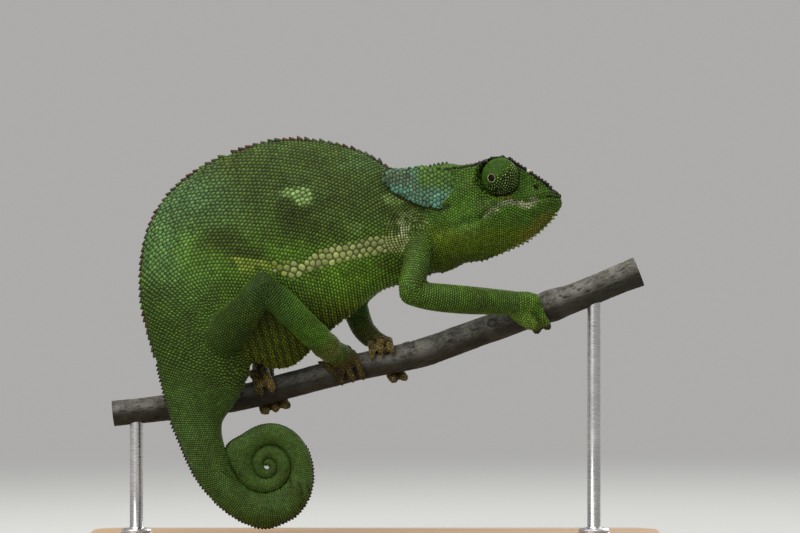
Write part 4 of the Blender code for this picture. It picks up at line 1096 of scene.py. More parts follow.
def leg_marking(places, region, station, noises):
    """The colours of one leg down to its wrist or ankle."""
    x, _, z = places.T
    soft, _, x_soft, z_soft = noises
    front = region.endswith("foreleg")
    colours = paint(repeated(TONES["foreleg" if front else "hindleg"], len(places)), "olive",
                    0.35 * soft_step(soft, 0.05, 0.6))
    pale = ("turquoise", 0.3 * soft_step(-soft, 0.1, 0.5))
    if front:
        colours = paint_all(colours, pale, ("olive", 0.5 * oval(x, z, 15.0, 85.6, 3.0, 2.6, 0.6)))
    else:
        colours = paint_all(
            colours * (1 + 0.14 * soft_step(x, -27.0, -19.0))[:, None],
            ("knee", 0.65 * oval(x_soft, z_soft, -33.0, 84.0, 6.0, 7.0, 0.7)), pale,
            # Painted shade on the thigh towards the hip
            ("thigh shade", 0.85 * soft_step(-x - 0.3 * (z - 78.0), 34.0, 40.0)))
    last = AXES[region]["s"].max()
    return paint(colours, "toe", 0.5 * soft_step(station, last - 9.0, last - 2.0) * (region != "right_foreleg"))


def marking(places, region, station, split):
    """The colour of the scales at places of one region, alike on both sides of the body."""
    x, _, z = places.T
    soft = cloud(places, 7.0, 1)
    fine = cloud(places, 2.2, 2)
    x_soft = x + 1.1 * cloud(places, 4.0, 3)
    z_soft = z + 1.1 * cloud(places, 4.0, 4)
    noises = (soft, fine, x_soft, z_soft)
    if region == "trunk":
        return trunk_marking(places, station, split, noises)
    if region == "head":
        return head_marking(places, noises)
    if region.endswith("_foot"):
        return foot_marking(places, region, noises)
    if region == "tail":
        angle = on_axis(places, "tail", axis_picks(places, "tail", station))[1]
        return paint_all(
            repeated(TONES["tail"], len(places)),
            ("coil", soft_step(station, split, split + 16.0)), ("olive", 0.35 * soft_step(soft, 0.0, 0.6)),
            ("turquoise", 0.25 * soft_step(-soft, 0.1, 0.6)),
            ("tail crest", 0.85 * (1 - soft_step(np.abs(angle) + 0.06 * fine, 0.16, 0.4))
             * soft_step(station, split, split + 24.0)))
    if region.startswith("flap"):
        return paint_all(
            repeated(TONES["flap"], len(places)),
            ("flap rear", 0.8 * oval(x_soft, z_soft, 6.0, 116.5, 5.0, 2.6, 0.5)),
            ("flap front", soft_step(x_soft, 10.5, 14.5) * soft_step(z_soft, 111.0, 114.5)),
            ("flap rear", 0.35 * soft_step(soft, 0.1, 0.5)),
            ("flap fleck", 0.5 * soft_step(cloud(places, 0.9, 9), 0.4, 0.55) * (x < 12.0)))
    if region.startswith("lid"):
        return paint_all(
            repeated(TONES["lid"], len(places)),
            ("lid dark", soft_step(-lid_tilt(places, region.split("_")[1]), -0.35, 0.35)),
            ("lid", 0.6 * soft_step(x - TURRET_X, 3.2, 4.8)))
    return leg_marking(places, region, station, noises)


# Where the scales grow

def pitch_at(places, region, station, split):
    """The spacing of the scales at places of a region."""
    x, _, z = places.T
    if region == "trunk":
        pitch = 1.2 + 0.07 * cloud(places, 1.6, 13)
        pitch -= 0.1 * soft_step(x, 2.0, 12.0)
        pitch -= 0.22 * soft_step(-z, -93.0, -82.0)
        pitch -= 0.36 * oval(x, z, 10.5, 101.0, 7.5, 7.5, 0.4)
        pitch += 0.95 * stripe_mask(x, z) * (x > STRIPE_REAR) * (x < 2.0)
        pitch += 0.3 * oval(x, z, -22.5, 110.8, 5.0, 3.0)
        return pitch
    if region == "tail":
        marks = [split - 10, split + 6, split + 45, split + 100, AXES["tail"]["s"].max()]
        return np.interp(station, marks, [0.88, 0.76, 0.68, 0.58, 0.42])
    if region == "head":
        pitch = 0.86 - 0.14 * soft_step(-z, -106.0, -100.0)
        return (pitch + (1.1 - pitch) * crown_mask(x, z)) * (1 + 0.16 * cloud(places, 1.2, 12))
    if region.startswith("flap"):
        return 1.26 + 0.3 * cloud(places, 2.0, 14)
    if region.endswith("_foot"):
        return np.full(len(places), 0.82)
    return np.interp(station, [0.0, 40.0, 60.0], [0.92, 0.8, 0.74] if "fore" in region else [0.88, 0.78, 0.74])


def comb_at(places, region, station):
    """How much the scales draw in along the body, so that they read as rows; below zero, across it."""
    x, _, z = places.T
    if region == "trunk":
        fold = oval(x, z, SHOULDER_X - 3.0, SHOULDER_Z, 8.0, 8.0, 0.3)
        return 0.5 * soft_step(-z, -90.0, -80.0) - 0.15 * soft_step(z, 92.0, 100.0) * (1 - fold) + 0.28 * fold
    if region == "head":
        return -0.26 * soft_step(-z, -108.0, -104.0) * soft_step(x, 28.0, 33.0)
    if region.endswith("_foot"):
        return np.full(len(places), 0.12)
    return np.full(len(places), 0.2 if region == "tail" else 0.6 if "fore" in region else 0.5)


def combed(reaches, comb):
    """Reaches drawn in along the body or across it."""
    angle, comb = turns(SPOKES), comb[:, None]
    return reaches * (1 - np.maximum(comb, 0.0) * np.cos(angle) ** 2 - np.maximum(-comb, 0.0) * np.sin(angle) ** 2)


def rows_of_places(form, split):
    """Places in staggered rows across a form, spaced along and round it by the scales' pitch."""
    rings, region = form["rings"], form["region"]
    spacing = np.linalg.norm(np.diff(rings, axis=0), axis=2).mean(axis=1)
    walked = np.concatenate([[0.0], np.cumsum(spacing)])
    sides = rings.shape[1]
    places, at, row = [], 0.2, 0
    while at < walked[-1]:
        index = min(int(np.searchsorted(walked, at, side="right")) - 1, len(spacing) - 1)
        share = (at - walked[index]) / max(spacing[index], 1e-6)
        ring = rings[index] * (1 - share) + rings[index + 1] * share
        station = form["stations"][index] * (1 - share) + form["stations"][index + 1] * share
        label = region if region != "body" else "trunk" if station < split else "tail"
        pitch = float(pitch_at(ring.mean(axis=0)[None], label, np.array([station]), split)[0])
        if label == "trunk":
            pitch = TRUNK_ROW_PITCH
        closed = np.vstack([ring, ring[:1]])
        arc = walk(closed)
        for start, low, high in ((sides // 4, 0, sides // 2), (3 * sides // 4, sides // 2, sides)):
            first = arc[start] + (0.5 * pitch if row % 2 else 0.0)
            down = np.arange(first, arc[low] - 1e-6, -pitch)
            over = np.arange(first + pitch, arc[high], pitch)
            places.append(read_at(np.concatenate([down, over]), arc, closed))
        at += pitch * ROW_STEP
        row += 1
    return np.concatenate(places)


class Surface:
    """The skin as the scales need it: nearest places, their directions, regions and stations."""

    def __init__(self, points, quads, regions, stations):
        self.points, self.quads = points, quads
        self.normals = point_normals(points, quads)
        self.regions, self.stations = regions, stations
        self.tree = BVHTree.FromPolygons(points.tolist(), quads.tolist())

    def settle(self, places):
        """The nearest places on the skin, the faces they lie on and how far they were."""
        hits = [self.tree.find_nearest(place) for place in places.tolist()]
        spots = np.array([hit[0] for hit in hits])
        return spots, np.array([hit[2] for hit in hits]), np.array([hit[3] for hit in hits])

    def facing(self, faces):
        """The direction that the skin faces near the middle of some of its faces."""
        return unit(self.normals[self.quads[faces]].mean(axis=1))


def thin_out(places, sizes, keep_first, share):
    """Which places stay when each keeps clear of those before it."""
    later = np.random.default_rng(SEED).permutation(len(places) - keep_first)
    grid, kept = {}, []
    keys = np.floor(places / THIN_CELL).astype(int).tolist()
    spots, spans = places.tolist(), sizes.tolist()

    def crowded(i):
        x, y, z = spots[i]
        for shift in product((-1, 0, 1), repeat=3):
            for px, py, pz, size in grid.get(tuple(map(add, keys[i], shift)), ()):
                reach = share * (size + spans[i]) / 2
                if (px - x) ** 2 + (py - y) ** 2 + (pz - z) ** 2 < reach * reach:
                    return True
        return False

    for i in [*range(keep_first), *(keep_first + later).tolist()]:
        if i < keep_first or not crowded(i):
            grid.setdefault(tuple(keys[i]), []).append((*spots[i], spans[i]))
            kept.append(i)
    return np.array(sorted(kept))


def neighbours(places, count):
    """The nearest other places to each place."""
    tree = KDTree(len(places))
    spots = places.tolist()
    for i, spot in enumerate(spots):
        tree.insert(spot, i)
    tree.balance()
    found = [[hit[1] for hit in tree.find_n(spot, count + 1)] for spot in spots]
    return np.array(found)[:, 1:]


def spread(surface, places, sizes, fixed, rounds):
    """Pushes crowded places apart over the skin until their spacing is even."""
    faces = surface.settle(places)[1]
    for _ in range(rounds):
        near = neighbours(places, 8)
        facing = surface.facing(faces)
        rel = places[:, None] - places[near]
        gap = np.linalg.norm(rel, axis=2)
        want = (sizes[:, None] + sizes[near]) / 2 * 1.06
        press = np.maximum(0.0, want - gap) / want * (dots(facing[:, None], facing[near]) > 0.2)
        move = (rel / np.maximum(gap, 1e-6)[:, :, None] * press[:, :, None]).sum(axis=1) * sizes[:, None] * 0.42
        move[fixed] = 0.0
        places, faces, _ = surface.settle(places + move)
    return places, faces


def fitted_reaches(places, out, lie, sizes):
    """How far each scale may reach along its spokes before it meets its neighbours."""
    near = neighbours(places, 12)
    across = np.cross(out, lie)
    rel = places[near] - places[:, None]
    usable = dots(out[:, None], out[near]) > 0.15
    squared = (rel ** 2).sum(axis=2)
    x, y = dots(rel, lie[:, None]), dots(rel, across[:, None])
    flat = np.sqrt(np.maximum(x * x + y * y, 1e-9))
    x, y = x / flat, y / flat
    weight = sizes[:, None] / (sizes[:, None] + sizes[near])
    reaches = []
    for spoke in range(SPOKES):
        angle = 2 * math.pi * spoke / SPOKES
        facing = x * math.cos(angle) + y * math.sin(angle)
        meet = np.where((facing > 0.05) & usable, weight * np.sqrt(squared) / np.maximum(facing, 0.05), 1e3)
        reaches.append(np.minimum(meet.min(axis=1), np.where(sizes > 1.5, 0.85, 0.68) * sizes))
    return np.stack(reaches, 1)


def scale_set(root, **values):
    """One record of scales, ready to be grown; single values are repeated for every scale."""
    record = {"root": root, "calm": 0.0, "station": 0.0, **values}
    return {key: np.full(len(root), value) if np.ndim(value) == 0 else value for key, value in record.items()}


def joined_sets(sets):
    """Several records of scales as one."""
    return {key: np.concatenate([one[key] for one in sets]) for key in sets[0]}


def varied(colours, seed, amount=0.08):
    """Colours that differ a little from scale to scale."""
    draw = np.random.default_rng(seed)
    value = 1 + draw.normal(0.0, amount, len(colours))[:, None]
    warm = 1 + draw.normal(0.0, amount * 0.14, (len(colours), 3))
    return np.clip(colours * value * warm, 4.0, 250.0)


def lip_places(surface):
    """Places of the two rows of lip scales, above and below the mouth line, round the snout."""
    xs = np.arange(56.0, MOUTH_END + 1.5, -0.25)
    side = np.stack([xs, read_line(HEAD, xs, 6), read_line(MOUTH, xs)], 1)
    path = np.concatenate([side[::-1] * [1, -1, 1], side])
    path[:, 1] += HEAD_Y
    arc = walk(path)
    rows = [read_at(np.arange(start, arc[-1], 0.86), arc, path) + [0.0, 0.0, shift]
            for shift, start in ((0.52, 0.0), (-0.52, 0.42))]
    return surface.settle(np.concatenate(rows))[0]


def ridge_places(surface):
    """Places of the knobs along the brow ridges and the middle of the casque."""
    rows = spline(HEAD, 6)
    brow, casque = rows[12:78], rows[72:]
    lines = [np.stack([brow[:, 0], HEAD_Y + side * brow[:, 4], brow[:, 3]], 1) for side in (-1.0, 1.0)]
    lines.append(np.stack([casque[:, 0] + casque[:, 1] * (casque[:, 2] - LEAN_Z), np.full(len(casque), HEAD_Y),
                           casque[:, 2]], 1))
    places = [read_at(np.arange(0.4, walk(line)[-1], 1.26), walk(line), line) for line in lines]
    return surface.settle(np.concatenate(places))[0]


def fold_wave(turn, radius):
    """How far the folds round the shoulder leave a true circle."""
    return 0.3 * np.sin(2.3 * turn + 0.6 * radius) + 0.15 * np.sin(5.1 * turn - radius)


def fold_places(surface):
    """Places of the fine folds of skin in rings round each shoulder."""
    places = []
    for side in (-1.0, 1.0):
        for radius in np.arange(3.6, 10.4, FOLD_STEP):
            for turn in np.arange(math.radians(15), math.radians(240), 0.8 / radius):
                reach = radius + fold_wave(turn, radius)
                start = (SHOULDER_X + reach * math.cos(turn), side * 40.0, SHOULDER_Z + reach * math.sin(turn))
                spot, _, face, _ = surface.tree.ray_cast(start, (0.0, -side, 0.0))
                if spot is not None and surface.regions[face] == NUMBERS["trunk"] and start[0] < 19.0:
                    places.append(spot)
    return np.array(places)


def by_region(surface, places, faces, act, width):
    """Calls a function for the places of each region and puts the results together."""
    names, stations = surface.regions[faces], surface.stations[faces]
    result = np.zeros((len(places), width) if width > 1 else len(places))
    for number in np.unique(names):
        chosen = names == number
        result[chosen] = act(places[chosen], REGIONS[number], stations[chosen])
    return result


def flat_places(surface, places, faces):
    """Where places of the skin lie on its flat map."""
    def act(spots, region, stations):
        picks = axis_picks(spots, region, stations)
        return tile_place(region, *on_axis(spots, region, picks))
    return by_region(surface, places, faces, act, 2)


def lie_of(surface, places, faces, out):
    """The way along the body towards the tail or the toes, flat on the skin."""
    def act(spots, region, stations):
        return AXES[region]["along"][axis_picks(spots, region, stations)]
    lie = by_region(surface, places, faces, act, 3)
    lie = lie - out * dots(lie, out)[:, None]
    weak = np.linalg.norm(lie, axis=1) < 0.1
    lie[weak] = np.cross(out[weak], [0.0, 1.0, 0.0])
    return unit(lie)


def grow_scales(surface, split, join):
    """Every scale of the fused skin, spaced, fitted and coloured."""
    lips, ridges = lip_places(surface), ridge_places(surface)
    pits = surface.settle(NOSTRILS)[0]
    fixed = np.concatenate([lips, ridges, pits, fold_places(surface)])
    ridge = np.arange(len(lips), len(lips) + len(ridges))
    pit = ridge[-1] + np.array([1, 2])
    folds = np.arange(pit[-1] + 1, len(fixed))
    rows = np.concatenate([rows_of_places(form, split) for form in flesh_forms()])
    rows, _, gap = surface.settle(rows)
    rows = rows[gap < 0.6]
    draw = np.random.default_rng(SEED)
    quads = surface.points[surface.quads]
    area = np.linalg.norm(np.cross(quads[:, 2] - quads[:, 0], quads[:, 3] - quads[:, 1]), axis=1) / 2
    extra = draw.choice(len(area), FILLERS, p=area / area.sum())
    share = draw.random((len(extra), 2))
    filler = ((quads[extra, 0] * (1 - share[:, :1]) + quads[extra, 1] * share[:, :1]) * (1 - share[:, 1:])
              + (quads[extra, 3] * (1 - share[:, :1]) + quads[extra, 2] * share[:, :1]) * share[:, 1:])

    def thinned(places, first, gap):
        places, faces, _ = surface.settle(places)
        sizes = by_region(surface, places, faces, pitches, 1)
        kept = thin_out(places, sizes, first, gap)
        return places[kept], sizes[kept], faces[kept]

    def pitches(spots, region, stations):
        return pitch_at(spots, region, stations, split)

    places = thinned(np.concatenate([fixed, rows]), len(fixed), 0.74)[0]
    first = len(places)
    places, sizes, faces = thinned(np.concatenate([places, filler]), first, 0.78)
    lined = np.arange(first)
    lined = lined[np.isin(surface.regions[faces[:first]], [NUMBERS[name] for name in LEGS])]
    held = np.concatenate([np.arange(len(fixed)), lined])
    rough = np.isin(surface.regions[faces], [NUMBERS["trunk"], NUMBERS["head"]])
    jitter = draw.normal(0.0, 1.0, places.shape) * (sizes * np.where(rough, 0.09, 0.03))[:, None]
    jitter[held] = 0.0
    places, faces = spread(surface, places + jitter, sizes, held, 12)
    sizes = by_region(surface, places, faces, pitches, 1)
    out = surface.facing(faces)
    buried = np.array([
        surface.tree.ray_cast((spot + way * 0.06).tolist(), way.tolist(), 0.55)[0] is not None
        for spot, way in zip(places, out)
    ])
    lie = lie_of(surface, places, faces, out)
    away = places[folds] - np.array([SHOULDER_X, 0.0, SHOULDER_Z])
    away[:, 1] = 0.0
    lie[folds] = unit(away - out[folds] * dots(away, out[folds])[:, None])
    comb = by_region(surface, places, faces, comb_at, 1)
    reaches = combed(fitted_reaches(places, out, lie, sizes) * 0.96 - 0.012, comb)
    reaches[pit] = 0.55
    colours = by_region(surface, places, faces, lambda a, b, c: marking(a, b, c, split), 3)
    colours = varied(colours, SEED + 1)
    rear = 0.55 * (1 - soft_step(places[ridge, 0], 25.0, 31.0))
    colours[ridge] = varied(paint(repeated(TONES["ridge"], len(ridge)), "head", rear), SEED + 2, 0.16)
    bright = ridge[np.argmin(np.linalg.norm(places[ridge] - np.array([46.5, HEAD_Y - 5.2, 118.2]), axis=1))]
    colours[bright] = TONES["pale granule"]
    # Painted shade: each nostril holds a dark scale for the shade in its hole
    colours[pit] = TONES["nostril"]
    names, stations = surface.regions[faces], surface.stations[faces]
    tall = 0.06 + 0.14 * np.minimum(sizes, 1.25)
    tall[ridge] = 0.88
    tall[:len(lips)] = 0.2
    tall[pit] = 0.02
    tall[folds] = 0.22
    tall[np.isin(names, FEET_NUMBERS)] *= 0.65
    taper = np.full(len(places), 0.12)
    taper[ridge] = 0.22
    record = scale_set(
        places, out=out, lie=lie, size=sizes, reach=reaches, tall=tall, taper=taper,
        lean=lie * (0.05 * sizes)[:, None], tint=colours, place=flat_places(surface, places, faces),
        region=names, station=stations, calm=0.45 * soft_step(-places[:, 0], 50.0, 66.0))
    clear = nostril_gap(places) > 0.8
    clear[pit] = True
    shown = ~buried & clear & ~((names == NUMBERS["tail"]) & (stations > join))
    return {key: value[shown] for key, value in record.items()}


def sheet_surface(form):
    """A flap, a lid or the coil as a skin of its own, and its faces with the two caps."""
    rings = form["rings"]
    count, sides = rings.shape[:2]
    faces = closed_faces(count, sides)
    quads = np.array(faces[:-2])
    points = rings.reshape(-1, 3)
    corners = points[quads]
    facing = np.cross(corners[:, 2] - corners[:, 0], corners[:, 3] - corners[:, 1])
    if dots(facing, corners.mean(axis=1) - points.mean(axis=0)).sum() < 0:
        quads = quads[:, ::-1]
        faces = quads.tolist() + [cap[::-1] for cap in faces[-2:]]
    regions = np.full(len(quads), NUMBERS[form["region"]])
    return Surface(points, quads, regions, np.repeat(middle_stations(form), sides)), faces


def sheet_scales(form, surface, split, join):
    """The scales of a form with a skin of its own: an occipital flap or the coil."""
    region = form["region"]
    coil = region == "tail"
    places, faces, _ = surface.settle(rows_of_places(form, split))
    sizes = pitch_at(places, region, surface.stations[faces], split)
    outer = (surface.facing(faces)[:, 1] > 0) | coil
    halves = [half for half in (np.flatnonzero(outer), np.flatnonzero(~outer)) if len(half)]
    kept = np.sort(np.concatenate([half[thin_out(places[half], sizes[half], 0, 0.72)] for half in halves]))
    places, sizes = places[kept], sizes[kept]
    places, faces = spread(surface, places, sizes, np.array([], int), 8)
    stations = surface.stations[faces]
    sizes = pitch_at(places, region, stations, split)
    out = surface.facing(faces)
    lie = lie_of(surface, places, faces, out)
    reaches = combed(fitted_reaches(places, out, lie, sizes) * (0.97 if coil else 0.99),
                     np.full(len(places), 0.12 if coil else 0.0))
    record = scale_set(
        places, out=out, lie=lie, size=sizes, reach=reaches, tall=0.05 + 0.12 * sizes if coil else 0.1, taper=0.1,
        lean=lie * 0.04, tint=varied(marking(places, region, stations, split), SEED + 5),
        place=flat_places(surface, places, faces), region=NUMBERS["tail" if coil else "head"],
        station=stations if coil else 0.0, calm=0.25 if coil else 0.36)
    shown = (stations > join - 1.0) | (not coil)
    return {key: value[shown] for key, value in record.items()}


def lid_scales(side, split):
    """The small round scales in rings over an eye turret, and the pale ring round its opening."""
    place, look = turret_place(side), unit(np.array(LOOKS[side]))
    across = unit(np.cross(look, [0.0, 0.0, 1.0]))
    up = np.cross(across, look)
    outline = spline(TURRET_OUTLINE, 8)
    arc = walk(outline)
    first, last, edge = arc[28], arc[65], arc[75]
    places, outs, sizes, ring_numbers, dotted = [], [], [], [], []
    slope = unit(np.gradient(outline, axis=0))
    steps = [*np.linspace(first, last, round((last - first) / 0.39) + 1), edge]
    for number, at in enumerate(steps):
        size = 0.43 if at < edge else 0.3
        (radius, height), ahead = read_at(at, arc, outline), read_at(at, arc, slope)
        count = max(14, round(2 * np.pi * radius / size))
        for k in range(count):
            turn = 2 * np.pi * (k + 0.5 * (number % 2)) / count
            spin = across * math.cos(turn) + up * math.sin(turn)
            places.append(place + look * height + spin * radius)
            outs.append(spin * ahead[1] - look * ahead[0])
            dotted.append(k % 2 == 0 and number % 2 == 0 and at < edge)
            sizes.append(size * (1.4 if dotted[-1] else 0.8))
            ring_numbers.append(at)
    places, outs, sizes = np.array(places), unit(np.array(outs)), np.array(sizes)
    if dots(outs, places - place).sum() < 0:
        outs = -outs
    lie = unit(look - outs * (outs @ look)[:, None])
    reaches = fitted_reaches(places, outs, lie, sizes) * 0.95
    colours = marking(places, f"lid_{side}", sizes, split)
    dotted = np.array(dotted) * (np.random.default_rng(SEED + 4).random(len(places)) < 0.88)
    colours = paint(colours, "lid dot", 0.9 * dotted * (1 - soft_step(lid_tilt(places, side), 0.15, 0.45)))
    rim = np.array(ring_numbers) >= edge
    colours[rim] = TONES["lid ring"]
    turn = np.arctan2((places - place) @ up, (places - place) @ across)
    share = (np.array(ring_numbers) - first) / (last - first)
    return scale_set(
        places - outs * 0.02, out=outs, lie=lie, size=sizes, reach=reaches, tall=np.where(rim, 0.14, 0.11),
        taper=0.1, lean=lie * 0.0, tint=varied(colours, SEED + 6, 0.12),
        place=tile_place(f"lid_{side}", share * 44 + 2, turn), region=NUMBERS[f"lid_{side}"])


def crest_set(line, outs, pitch, tall, half_length, half_width, lean, tones, region, seed):
    """Teeth or cones along a line; each pair of sizes is for the line's start and its end."""
    arc = walk(line)
    draw = np.random.default_rng(seed)
    shares, at = [], pitch[0] / 2
    while at < arc[-1]:
        shares.append(at / arc[-1])
        at += (pitch[0] + (pitch[1] - pitch[0]) * shares[-1]) * draw.uniform(0.93, 1.07)
    shares = np.array(shares)
    at = shares * arc[-1]
    along = unit(read_at(at, arc, unit(np.gradient(line, axis=0))))
    out = read_at(at, arc, outs)
    out = unit(out - along * dots(out, along)[:, None])
    out = unit(out + draw.normal(0.0, 0.07, (len(out), 3)))
    along = unit(along - out * dots(along, out)[:, None])
    size = draw.uniform(0.84, 1.14, len(at))

    def read(pair):
        return pair[0] + (pair[1] - pair[0]) * shares

    height = read(tall) * size
    long, wide = read(half_length), read(half_width) * np.sqrt(size)
    angle = turns(SPOKES)
    reaches = (long * wide)[:, None] / np.hypot(wide[:, None] * np.cos(angle), long[:, None] * np.sin(angle))
    slow = 0.5 + 0.5 * np.sin(at / 2.6 + seed) + draw.normal(0.0, 0.12, len(at))
    picks = np.clip(slow * len(tones), 0, len(tones) - 1).astype(int)
    colours = np.array([TONES[tones[pick]] for pick in picks], float)
    stations = AXES[region]["s"]
    return scale_set(
        read_at(at, arc, line), out=out, lie=along, size=long * 2, reach=reaches, tall=height, taper=0.45,
        lean=along * (height * lean)[:, None], tint=varied(colours, seed + 1, 0.1),
        place=tile_place(region, stations.min() + shares * np.ptp(stations), np.full(len(at), 3.1)),
        region=NUMBERS[region], station=shares)


def throat_line(corners):
    """A line under the throat, sunk a little into the coat."""
    line = spline([(x, HEAD_Y, z) for x, z in corners], 6)
    out = np.stack([-np.gradient(line[:, 2]), np.zeros(len(line)), np.gradient(line[:, 0])], 1)
    return line - unit(out) * (COAT_DEPTH + 0.1) * np.sign(-out[:, 2:3])


def crests():
    """The crests along the back, tail, belly and throat."""
    rows, join = body_rows()
    back, belly = columns(rows, 2, 5, 3), columns(rows, 0, 5, 1)
    up = unit(back - belly)
    sink = COAT_DEPTH + 0.1 - 0.32 * soft_step(np.arange(len(rows)) - join, -74, -50)
    back = back - up * sink[:, None]
    belly = belly + up * (COAT_DEPTH + 0.1)
    end, low_end, tail_end = (TORSO_END + 1) * BODY_STEPS, join + 15, len(rows) - 6
    middle = end * 11 // 20
    sets = []
    for line, way, (first, last), sizes, lean, tones, region, seed in (
            (back, up, (9, middle), ((2.35, 2.2), (1.35, 1.3), (1.5, 1.4), (0.62, 0.58)), 1.0,
             ["back crest", "back crest", "olive", "red crest"], "trunk", 31),
            (back, up, (middle, end), ((2.15, 1.8), (1.25, 0.95), (1.4, 1.1), (0.58, 0.46)), 1.0,
             ["back crest", "olive", "back crest", "red crest"], "trunk", 41),
            (back, up, (end, low_end), ((1.2, 1.0), (0.8, 0.5), (0.6, 0.5), (0.36, 0.32)), 0.5,
             ["tail crest"], "tail", 51),
            (back, up, (low_end, tail_end), ((1.0, 0.7), (0.26, 0.16), (0.45, 0.3), (0.3, 0.2)), 0.3,
             ["coil"], "tail", 55),
            (belly, -up, (12, 96), ((1.4, 1.3), (0.6, 0.5), (0.45, 0.4), (0.36, 0.34)), 0.2,
             ["cone", "stripe", "belly"], "trunk", 61)):
        sets.append(crest_set(line[first:last], way[first:last], *sizes, lean, tones, region, seed))
    line = throat_line(THROAT[1:8])
    for shift, scale, seed in ((0.0, 1.0, 71), (-1.3, 0.6, 81), (1.3, 0.6, 91)):
        sets.append(crest_set(
            line + np.array([0.0, shift, abs(shift) * 0.25]), repeated((0.15, shift * 0.25, -1.0), len(line)),
            (1.45, 1.6), (0.95 * scale, 0.75 * scale), (0.45 * scale + 0.1, 0.4 * scale + 0.1),
            (0.42 * scale + 0.1, 0.4 * scale + 0.1), -0.15, ["cone", "cone", "throat"], "head", seed))
    line = throat_line(THROAT[7:])
    sets.append(crest_set(line, repeated((0.15, 0.0, -1.0), len(line)), (1.6, 1.5), (0.6, 0.45), (0.5, 0.4),
                          (0.42, 0.38), -0.15, ["throat", "olive", "throat", "chin"], "head", 101))
    return joined_sets(sets)


# Growing the scales in Geometry Nodes

def link(tree, value, socket):
    """Joins a socket to another one or gives it a value; a colour of three values is made solid."""
    if isinstance(value, bpy.types.NodeSocket):
        tree.links.new(value, socket)
    elif socket.type == "RGBA" and len(value) == 3:
        socket.default_value = (*value, 1.0)
    else:
        socket.default_value = value


def put(tree, kind, **values):
    """A node with its settings; inputs are named, with _ for a space, or numbered after an i."""
    node = tree.nodes.new(kind)
    for key, value in values.items():
        if hasattr(node, key):
            setattr(node, key, value)
        else:
            link(tree, value, node.inputs[int(key[1:]) if key[1:].isdigit() else key.replace("_", " ")])
    return node


def maths(tree, operation, *values):
    """One Math node's result."""
    node = put(tree, "ShaderNodeMath", operation=operation)
    for value, socket in zip(values, node.inputs):
        link(tree, value, socket)
    return node.outputs[0]


def vectors(tree, operation, *values, factor=None):
    """One Vector Math node's result."""
    node = put(tree, "ShaderNodeVectorMath", operation=operation)
    for value, socket in zip(values, node.inputs):
        link(tree, value, socket)
    if factor is not None:
        link(tree, factor, node.inputs["Scale"])
    return node.outputs["Value" if operation in ("LENGTH", "DOT_PRODUCT") else "Vector"]


def named(tree, name, kind="FLOAT"):
    """A stored value of each scale."""
    return put(tree, "GeometryNodeInputNamedAttribute", data_type=kind, Name=name).outputs["Attribute"]


def keep_value(tree, geometry, name, value, kind="FLOAT", domain="POINT"):
    """Geometry with a value stored on it."""
    return put(tree, "GeometryNodeStoreNamedAttribute", data_type=kind, domain=domain, Geometry=geometry,
               Name=name, Value=value).outputs[0]


